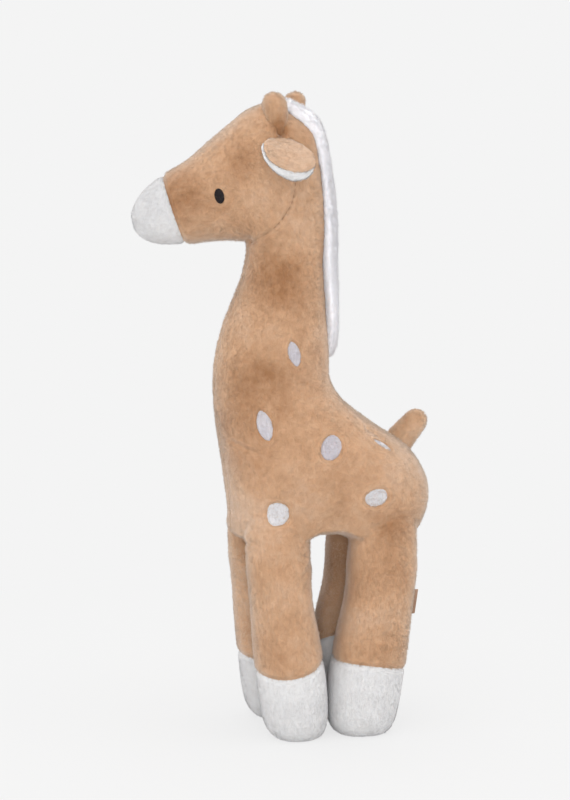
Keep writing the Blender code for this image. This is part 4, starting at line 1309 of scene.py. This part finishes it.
def cut_skin(skin):
    """Pieces of the skin by name."""
    keep_normals(skin)
    pieces = {"body_plush": skin}
    head = split(skin, "head_plush", (0, 0, NECK_SPLIT), (0, 0, 1))
    pieces["head_plush"] = head
    c, s = cos(HEAD_TURN), sin(HEAD_TURN)
    seam_x = head_along(1) + MUZZLE_LENGTH - THROAT_X
    seam_z = THROAT_Z + HEAD_SHARES[-1][1] * HEAD_HEIGHT
    forward = (-cos(MUZZLE_SLANT) * c, -cos(MUZZLE_SLANT) * s, -sin(MUZZLE_SLANT))
    place = (THROAT_X + seam_x * c, seam_x * s + CENTRE_Y, seam_z)
    pieces["muzzle_plush"] = split(head, "muzzle_plush", place, forward)
    legs = split(skin, "legs", (0, 0, LEG_SPLIT), (0, 0, -1))
    across = split(legs, "hind", (FEET_MEET_X, 0, 0), (1, 0, 0))
    for pair, word in ((legs, "front"), (across, "hind")):
        right = split(pair, f"{word}_leg_right_plush", (0, CENTRE_Y, 0), (0, 1, 0))
        pair.name = f"{word}_leg_left_plush"
        for leg, hand in ((pair, "left"), (right, "right")):
            foot_name = f"{word}_foot_{hand}_plush"
            foot = cut_leg(leg, word == "front", foot_name)
            pieces[f"{word}_leg_{hand}_plush"] = leg
            pieces[foot_name] = foot
    for piece in pieces.values():
        use_normals(piece)
        set_nap_and_shade(piece)
    return pieces


def pile(name, skin, kind, seed, lean=(0, 0, -1), keep=None, layers=1, paler=0.0):
    """Short pile on a skin: slender closed spikes with three sides, rooted under it.

    A spike stands at a random place of a face. Its way is the skin's normal plus PILE_LEAN of the
    nap's way along the skin and a random part. Its three roots lie on a circle of its width, and
    its tip is its length away. Where the pile is shared among layers, this is one of them.
    """
    density, length, width, wild = PILES[kind]
    rng = np.random.default_rng(seed)
    mesh = skin.data
    mesh.calc_loop_triangles()
    corners = np.empty(len(mesh.loop_triangles) * 3, dtype=np.int32)
    mesh.loop_triangles.foreach_get("vertices", corners)
    corners = corners.reshape(-1, 3)
    points, normals = get_points(skin), get_normals(skin)
    a, b, c = (points[corners[:, k]] for k in range(3))
    area = np.linalg.norm(np.cross(b - a, c - a), axis=1) / 2
    total = np.cumsum(area)
    count = int(total[-1] / MM ** 2 * (density / layers) * PILE_SHARE)
    pick = np.searchsorted(total, rng.random(count) * total[-1])
    pick = np.minimum(pick, len(corners) - 1)
    u, v = rng.random(count), rng.random(count)
    fold = u + v > 1
    u, v = np.where(fold, 1 - u, u)[:, None], np.where(fold, 1 - v, v)[:, None]
    root = a[pick] * (1 - u - v) + b[pick] * u + c[pick] * v
    normal = unit(normals[corners[pick, 0]] * (1 - u - v) + normals[corners[pick, 1]] * u
                  + normals[corners[pick, 2]] * v)
    size = rng.uniform(0.7, 1.15, count)[:, None]
    stray = rng.normal(0, wild, (count, 3))
    chosen = (root[:, 2] > length) | (normal[:, 2] > -0.5)
    if keep is not None:
        chosen &= keep(root, normal)
    root, normal, size, stray = root[chosen], normal[chosen], size[chosen], stray[chosen]
    nap = np.asarray(lean, float) + PILE_DRIFT * np.stack(
        [noise(root, PILE_DRIFT_CELL, seed + k) for k in range(3)], axis=1)
    nap -= normal * np.sum(nap * normal, axis=1)[:, None]
    way = unit(normal + PILE_LEAN * nap + stray)
    side = unit(np.cross(way, normal[:, [1, 2, 0]]))
    other = np.cross(way, side)
    start = root - normal * length * PILE_ROOT_SHARE
    spikes = np.empty((len(root), 4, 3))
    for k in range(3):
        angle = 2 * pi * k / 3
        spikes[:, k] = start + (side * cos(angle) + other * sin(angle)) * width / 2
    spikes[:, 3] = start + way * length * size * PILE_TIP_SHARE
    spikes[:, :, 2] = np.maximum(spikes[:, :, 2], 0.0)
    piece = link(name, spike_mesh(name, spikes))
    soft = np.repeat(normal, 4, axis=0).reshape(-1, 4, 3)
    soft = soft + (spikes - spikes.mean(axis=1, keepdims=True)) / width * PILE_ROUNDNESS
    piece.data.normals_split_custom_set_from_vertices(unit(soft.reshape(-1, 3)).tolist())
    tips = np.tile([0.0, 0.0, 0.0, PILE_TIP], len(root))
    set_nap_and_shade(piece, np.clip(np.repeat(nap_and_shade_value(root) + paler, 4) + tips, 0, 1))
    return piece


def spike_mesh(name, spikes):
    """Mesh of many spikes, each of three roots and a tip, closed underneath."""
    count = len(spikes)
    first = np.arange(count)[:, None, None] * 4
    faces = (np.array([[0, 1, 3], [1, 2, 3], [2, 0, 3], [2, 1, 0]])[None] + first).reshape(-1, 3)
    fur = bpy.data.meshes.new(name)
    fur.vertices.add(count * 4)
    fur.vertices.foreach_set("co", spikes.astype(np.float32).ravel())
    fur.loops.add(len(faces) * 3)
    fur.loops.foreach_set("vertex_index", faces.astype(np.int32).ravel())
    fur.polygons.add(len(faces))
    fur.polygons.foreach_set("loop_start", np.arange(len(faces), dtype=np.int32) * 3)
    fur.polygons.foreach_set("use_smooth", np.ones(len(faces), dtype=bool))
    fur.update(calc_edges=True)
    fur.validate()
    return fur


def pile_layers(piece, kind):
    """How many pieces the pile of a skin is shared among, so that none grows too heavy."""
    area = sum(face.area for face in piece.data.polygons) / MM ** 2
    return int(np.ceil(area * PILES[kind][0] * PILE_SHARE * 4 / PILE_FACES))


def make_patch(name, spot):
    """Inset spot: rings laid on the skin, its edge tucked under the pile.

    A ring at the share r of the spot's size sinks by SPOT_SINK plus EDGE_SINK times r to the
    eighth, and the underside lies SPOT_THICKNESS lower.
    """
    r = np.linspace(0.02, 1.05, 14)[:, None]
    _, _, placed, normals = spot.rings(r, 48)
    top = placed - normals * (SPOT_SINK + EDGE_SINK * r ** 8)[..., None]
    fuzz = SPOT_FUZZ * noise(top.reshape(-1, 3), SPOT_FUZZ_CELL, 31)
    top += normals * fuzz.reshape(len(r), -1, 1)
    return shell_piece(name, top, top - normals * SPOT_THICKNESS)


def make_eye(surface, name, side):
    """Satin-stitched oval: a dome of threads that run across it.

    Height is EYE_RISE times the root of 1 - r^4, plus a ripple of one wave to a thread.
    """
    oval = Oval(surface, EYE_PLACE, (EYE_HEIGHT, EYE_WIDTH), EYE_TILT, side, head=True)
    r = np.linspace(0.01, 1.0, 26)[:, None]
    tall, wide, placed, normals = oval.rings(r, 120)
    rise = EYE_RISE * np.sqrt(np.clip(1.04 - r ** 4, 0, None))
    rise = rise + THREAD_RIPPLE * np.sin(2 * pi * (tall + wide * 0.08) / THREAD_WIDTH)
    rise += EYE_FUZZ * noise(placed.reshape(-1, 3), EYE_FUZZ_CELL, 41).reshape(rise.shape)
    return shell_piece(name, placed + normals * rise[..., None], placed - normals * EYE_ROOT)


def sweep(name, path, widths, heights, across, around, cup=0.0):
    """Oval section carried along a path.

    A point lies at the path plus half the width times cos t across, and half the height times
    sin t along the path's own normal, less cup times cos t squared. Both ends close to a point.
    """
    path = np.asarray(path, float)
    ahead = unit(np.gradient(path, axis=0))
    across = np.broadcast_to(np.asarray(across, float), path.shape)
    normal = unit(np.cross(ahead, across))
    t = np.arange(around) * 2 * pi / around
    c, s = np.cos(t)[None, :, None], np.sin(t)[None, :, None]
    wide = np.asarray(widths, float)[:, None, None] / 2
    high = np.asarray(heights, float)[:, None, None] / 2
    bend = cup * (wide / wide.max()) ** 2
    points = (path[:, None] + across[:, None] * wide * c
              + normal[:, None] * (high * s - bend * c * c))
    return mesh_piece(name, points.reshape(-1, 3), tube_faces(len(path), around))


def fluff(piece, seed, amount=FLUFF, paler=0.0):
    """Small clumps of pile on a piece's surface, its nap paler by a share."""
    points, normals = get_points(piece), get_normals(piece)
    change = amount * (noise(points, FLUFF_CELL, seed)
                       + 0.7 * noise(points, FINE_FLUFF_CELL, seed + 1))
    set_points(piece, points + normals * change[:, None])
    set_nap_and_shade(piece, np.clip(nap_and_shade_value(points) + paler, 0, 1))
    return piece


def place_on_head(piece, side):
    """Mirror a piece for the left side, turn it with the head and centre it."""
    points = get_points(piece)
    points[:, 1] *= side
    points = turned(points)
    points[:, 1] += CENTRE_Y
    set_points(piece, points)
    if side < 0:
        piece.data.flip_normals()


def make_ear(hand, side):
    """Drooping ear: a tan back, and a thicker pale lining that rolls out round its rim.

    Its middle line leaves the head level and droops ever more, from EAR_DROOP[0] to
    EAR_DROOP[1]. Its width follows EAR_SHARES. The back lies EAR_LIFT_SHARES above the lining's
    middle line and ends in a rounded tip before it.
    """
    share = np.linspace(0, 1, 33)
    width = read_table(share, smooth_sections(EAR_SHARES, 8)) * EAR_WIDTH
    angle = blend(EAR_DROOP[0], EAR_DROOP[1], share ** 1.2)
    step = EAR_LENGTH / (len(share) - 1)
    out = np.concatenate([[0], np.cumsum(np.cos(angle[:-1]) * step)])
    down = np.concatenate([[0], np.cumsum(np.sin(angle[:-1]) * step)])
    path = np.stack([EAR_ROOT[0] + share ** 1.4 * EAR_SWEEP, EAR_ROOT[1] + out,
                     EAR_ROOT[2] - down], axis=1)
    puff = read_table(share, EAR_LINING_SHARES) * MM
    lining = sweep(f"ear_{hand}_lining", path, width, puff, EAR_ACROSS, 40, EAR_CUP)
    cut = share * EAR_BACK_SHARE
    tip = rounded_tip(share, EAR_BACK_TIP)
    back_width = np.interp(cut, share, width) * EAR_BACK_WIDTH * tip + EAR_BACK_EDGE[0]
    places = np.stack([np.interp(cut, share, path[:, k]) for k in range(3)], axis=1)
    normal = unit(np.cross(np.gradient(places, axis=0), EAR_ACROSS))
    normal *= np.where(normal[:, 2:3] < 0, -1, 1)
    lift = read_table(share, EAR_LIFT_SHARES) * MM
    places += normal * np.interp(cut, share, lift)[:, None]
    places[:, 0] += EAR_BACK_SHIFT * share
    back = sweep(f"ear_{hand}_back", places, back_width,
                 EAR_BACK_THICKNESS * tip + EAR_BACK_EDGE[1], EAR_ACROSS, 40, EAR_CUP * 0.9)
    for piece in (lining, back):
        finer(piece)
        place_on_head(piece, side)
    return fluff(back, 51, paler=EARS_PALER), fluff(lining, 53)


def make_horn(hand, side):
    """Stubby stuffed horn: round sections from a gathered foot to a rounded tip."""
    start, lean = HORN_LEFT if side < 0 else HORN_RIGHT
    share = np.linspace(0, 1, 30)
    z = THROAT_Z + HEAD_HEIGHT + HORN_RISE - HORN_HEIGHT + share * HORN_HEIGHT
    x = THROAT_X + start + lean * share
    y = HORN_SPREAD / 2 - HORN_GATHER * (1 - share) ** 2
    size = read_table(share, HORN_SHARES) * rounded_tip(share, HORN_TIP) * HORN_WIDTH + TIP_WIDTH
    horn = sweep(f"horn_{hand}_plush", np.stack([x, y, z], axis=1), size, size, (1, 0, 0), 36)
    finer(horn)
    place_on_head(horn, side)
    return fluff(horn, 61)


def mane_band(rows):
    """Sections of a mane: from just under the ends of the given chords to the mane's height.

    Its height and width run in at the foot by the root of the run and at the crown by the root
    of the run that is left. Towards the crown it grows narrower and a little higher.
    """
    table = smooth_sections(rows, 4)
    back, front = table[:, 2:4], table[:, 0:2]
    out = unit(back - front)
    run = run_along(back)
    left = run[-1] - run
    size = np.sqrt(np.clip(run / MANE_FOOT_RUN, 0.02, 1))
    size *= np.sqrt(np.clip(left / MANE_TIP_RUN, 0.02, 1))
    height = MANE_HEIGHT + MANE_CROWN_RISE * (1 - np.clip(left / MANE_RISE_RUN, 0, 1))
    width = MANE_WIDTH * (0.45 + 0.55 * np.clip(run / MANE_FOOT_WIDEN, 0, 1))
    near = np.clip(left / MANE_CROWN_RUN, 0, 1)
    width = blend(MANE_CROWN_WIDTH, width, near) * (0.5 + 0.5 * size)
    low = back - out * MANE_ROOT
    high = back + out * (height * size)[:, None]
    return np.column_stack([low, high, width / 2, np.full(len(run), MANE_SQUARENESS)])


def make_manes():
    """One band up the back of neck and head, parted at the throat into two manes.

    Up the neck the band winds round with the turned head.
    """
    rows = [row for row in neck_sections() if NECK_Z + MANE_START < row[1] < THROAT_Z - MM]
    rows += head_sections()[1:MANE_ROWS]
    points, faces = tube(mane_band(rows), 28)
    points[:, 1] += MANE_SHIFT
    points = nape_fill(points)
    share = np.clip((points[:, 2] - rows[0][1]) / (THROAT_Z - rows[0][1]), 0, 1)
    middle = NECK_X + (THROAT_X - NECK_X) * np.minimum((points[:, 2] - NECK_Z) / NECK_LENGTH, 1)
    angle = HEAD_TURN * eased(share)
    dx, dy = points[:, 0] - middle, points[:, 1].copy()
    points[:, 0] = middle + dx * np.cos(angle) - dy * np.sin(angle)
    points[:, 1] = dx * np.sin(angle) + dy * np.cos(angle) + CENTRE_Y
    neck = mesh_piece("neck_mane_plush", points, faces)
    finer(neck)
    # The manes' tone is paler as painted light.
    fluff(neck, 71, MANE_FLUFF, MANES_PAINTED_LIGHT)
    keep_normals(neck)
    head = split(neck, "head_mane_plush", (0, 0, THROAT_Z), (0, 0, 1))
    use_normals(neck)
    use_normals(head)
    return neck, head


def make_tail():
    """Stub tail: an oval tube along a straight line with a rounded tip, its root in the rump."""
    x, z = TAIL_PLACE
    share = np.linspace(0, 1, 26)
    way = np.array([cos(TAIL_RISE), 0, sin(TAIL_RISE)])
    run = share * (TAIL_LENGTH + TAIL_SPARE) - TAIL_ROOT
    path = np.array([x, CENTRE_Y, z]) + way * run[:, None]
    size = read_table(share, TAIL_SHARES) * rounded_tip(share, TAIL_TIP) * TAIL_WIDTH
    tail = sweep("tail_plush", path, size * TAIL_FLATNESS + TIP_WIDTH, size + TIP_WIDTH,
                 (0, 1, 0), 32)
    finer(tail)
    return fluff(tail, 81)


def make_tab():
    """Folded tape: a loop of two layers with a rounded fold, up the leg's back edge.

    A point lies TAB_REACH times the root of cos t out from the edge, and half the thickness
    times sin t across, with a ripple of one wave to a rib along and across.
    """
    rows, steps = 40, 26
    up = np.linspace(0, 1, rows)[:, None]
    t = pi / 2 * (np.linspace(0, 1, steps)[None, :] * 2 - 1)
    z = TAB_LOW + up * TAB_HEIGHT
    x = blend(*TAB_EDGE, up) + TAB_REACH * np.cos(t) ** 0.5
    x += TAB_RIPPLE * np.sin(2 * pi * z / TAB_RIB) * np.cos(2 * pi * x / TAB_RIB)
    y = np.sin(t) * TAB_THICKNESS / 2 * (1 + 0.1 * np.cos(2 * pi * z / TAB_RIB))
    y += CENTRE_Y - HIP_SPREAD / 2
    points = np.stack([x, y, z + 0 * x], axis=2).reshape(-1, 3)
    return mesh_piece("side_tab_tape", points, tube_faces(rows, steps))


def make_stitches(name, surface, line, side):
    """Row of short thread stitches along a line on the head, each a small rounded bar.

    A bar is a round tube whose middle rises by half a wave from under the skin, and whose width
    is the fourth-power dome of its length.
    """
    line = np.array(line) * MM
    run = run_along(line)
    share = np.linspace(0, 1, 7)[:, None]
    around = 8
    t = np.arange(around) * 2 * pi / around
    size = STITCH_WIDTH / 2 * np.sqrt(np.clip(1 - (2 * share - 1) ** 4, 0.04, 1))
    points, faces = [], []
    for start in np.arange(STITCH_LENGTH, run[-1], STITCH_LENGTH * STITCH_STEP):
        (first, normal), (last, _) = (
            surface.side_point(*(np.interp(start + away, run, line[:, k]) for k in (0, 1)), side,
                               head=True)
            for away in (-STITCH_LENGTH / 2, STITCH_LENGTH / 2))
        path = blend(first, last, share)
        path = path - normal * (STITCH_SINK - STITCH_RISE * np.sin(pi * share))
        ahead = (last - first) / np.linalg.norm(last - first)
        ring = (path[:, None] + np.cross(ahead, normal) * (size * np.cos(t))[..., None]
                + normal * (size * np.sin(t))[..., None])
        faces += tube_faces(len(share), around, len(points) * len(share) * around)
        points.append(ring.reshape(-1, 3))
    return mesh_piece(name, np.vstack(points), faces)


def follow(name, piece):
    """Attach a piece of the skin, or the pile on it, to its body; the pieces of body, neck, head and
    legs only have their transforms baked in.
    """
    words = name.split("_")
    if name.startswith("body"):
        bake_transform(piece)
    elif name.startswith(("head", "neck")):
        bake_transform(piece)
    elif name.startswith("muzzle"):
        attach(piece, "head_body")
    elif words[1] == "leg":
        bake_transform(piece)
    else:
        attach(piece, words[0] + "_" + words[2] + "_body")


def replace(name):
    """Hide the pieces of the frame that a piece of the skin covers."""
    words = name.split("_")
    if name.startswith("body"):
        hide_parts("torso", "neck", "torso_filling", "neck_filling")
    elif name.startswith("head"):
        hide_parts("head", "head_filling")
    elif name.startswith("muzzle"):
        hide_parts("muzzle")
    elif words[1] == "leg":
        leg = words[0] + "_leg_" + words[2]
        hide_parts(leg, leg + "_filling")
    else:
        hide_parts(words[0] + "_foot_" + words[2])


def finish_skin(name, piece, paint):
    """Cloth, joints and pile of a piece cut from the skin."""
    kind = "white" if "foot" in name or "muzzle" in name else "tan"
    dress(piece, paint[kind])
    follow(name, piece)
    replace(name)
    layers = pile_layers(piece, kind)
    # The far legs' pile gets painted light: a paler tone.
    paler = FAR_LEGS_PAINTED_LIGHT if name.endswith("leg_right_plush") else 0.0
    for layer in range(layers):
        word = name.replace("_plush", "_pile") + ("_" + "abcdef"[layer] if layers > 1 else "")
        fur = pile(word, piece, kind, len(name) * 7 + layer, layers=layers, paler=paler)
        dress(fur, paint[kind])
        follow(name, fur)


def make_spots(spots, paint):
    """The inset spots with their own short pile, each as pale as it lies to the light."""
    for (word, hand), (spot, paleness) in spots.items():
        node = f"{word}_spot_{hand}"
        patch = make_patch(node + "_cloth", spot)
        fur = pile(node + "_pile", patch, "spot", 91,
                   keep=lambda root, normal, spot=spot:
                   (normal @ spot.normal > 0.3) & (spot.reach(root) < SPOT_PILE_REACH))
        for piece in (patch, fur):
            set_nap_and_shade(piece, np.full(len(piece.data.vertices), paleness))
            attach(piece, "neck_body" if word == "neck" else "root")
            dress(piece, paint["lilac"])
        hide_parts(node)


def make_face(surface, paint):
    """Both eyes, and the small stitches that close the seam behind the face."""
    for hand, side in SIDES:
        eye = make_eye(surface, f"eye_{hand}_stitching", side)
        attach(eye, "head_body")
        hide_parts("eye_" + hand)
        dress(eye, paint["thread"])
        seam = make_stitches("head_seam_stitches_" + hand, surface, HEAD_SEAM[2:-2], side)
        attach(seam, "head_body")
        dress(seam, paint["seam"])


def sew_on(piece, body, node, material, kind, seed, lean=(0, 0, -1), paler=0.0):
    """Cloth, body and pile of a padded piece that is sewn on; the neck's mane spans two bodies."""
    fur = pile(piece.name.replace("_plush", "") + "_pile", piece, kind, seed, lean, paler=paler)
    for thing in (piece, fur):
        dress(thing, material)
        if body is None:
            follow("neck", thing)
        else:
            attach(thing, body)
    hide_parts(node)


def make_trim(paint):
    """Horns, ears, manes, tail and tab."""
    tan, white, mane = paint["tan"], paint["white"], paint["mane"]
    for hand, side in SIDES:
        horn = make_horn(hand, side)
        sew_on(horn, "head_body", "horn_" + hand, tan, "horn", 61)
        back, lining = make_ear(hand, side)
        body, lean = f"ear_{hand}_body", (0, side, -1)
        sew_on(back, body, "ear_" + hand, tan, "ear", 51, lean, EARS_PALER)
        sew_on(lining, body, "ear_lining_" + hand, white, "lining", 53, lean)
    neck, head = make_manes()
    lean = (0.3, 0, -1)
    # The manes' pile is paler as painted light.
    sew_on(neck, None, "neck_mane", mane, "mane", 71, lean, MANES_PAINTED_LIGHT)
    sew_on(head, "head_body", "head_mane", mane, "mane", 73, lean,
           MANES_PAINTED_LIGHT)
    tail = make_tail()
    sew_on(tail, "tail_body", "tail", tan, "tail", 81, (0.5, 0, 0.6))
    tab = make_tab()
    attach(tab, "tab_body")
    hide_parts("side_tab")
    dress(tab, paint["tape"])


def main():
    """The studio, the skin and its pieces, and everything that is sewn on."""
    make_camera()
    make_studio()
    paint = make_materials()
    skin = make_skin()
    surface = Surface(skin)
    spots = {}
    for word, (x, z, length, width, tilt, lift, squareness, paleness) in SPOTS.items():
        for hand, side in SIDES:
            oval = Oval(surface, (x * MM, z * MM), (length * MM, width * MM), radians(tilt), side,
                        radians(lift), squareness=squareness)
            spots[word, hand] = oval, paleness
    shape_skin(skin, surface, [oval for oval, _ in spots.values()])
    pieces = cut_skin(skin)
    make_spots(spots, paint)
    make_face(surface, paint)
    for name, piece in pieces.items():
        finish_skin(name, piece, paint)
    make_trim(paint)


main()
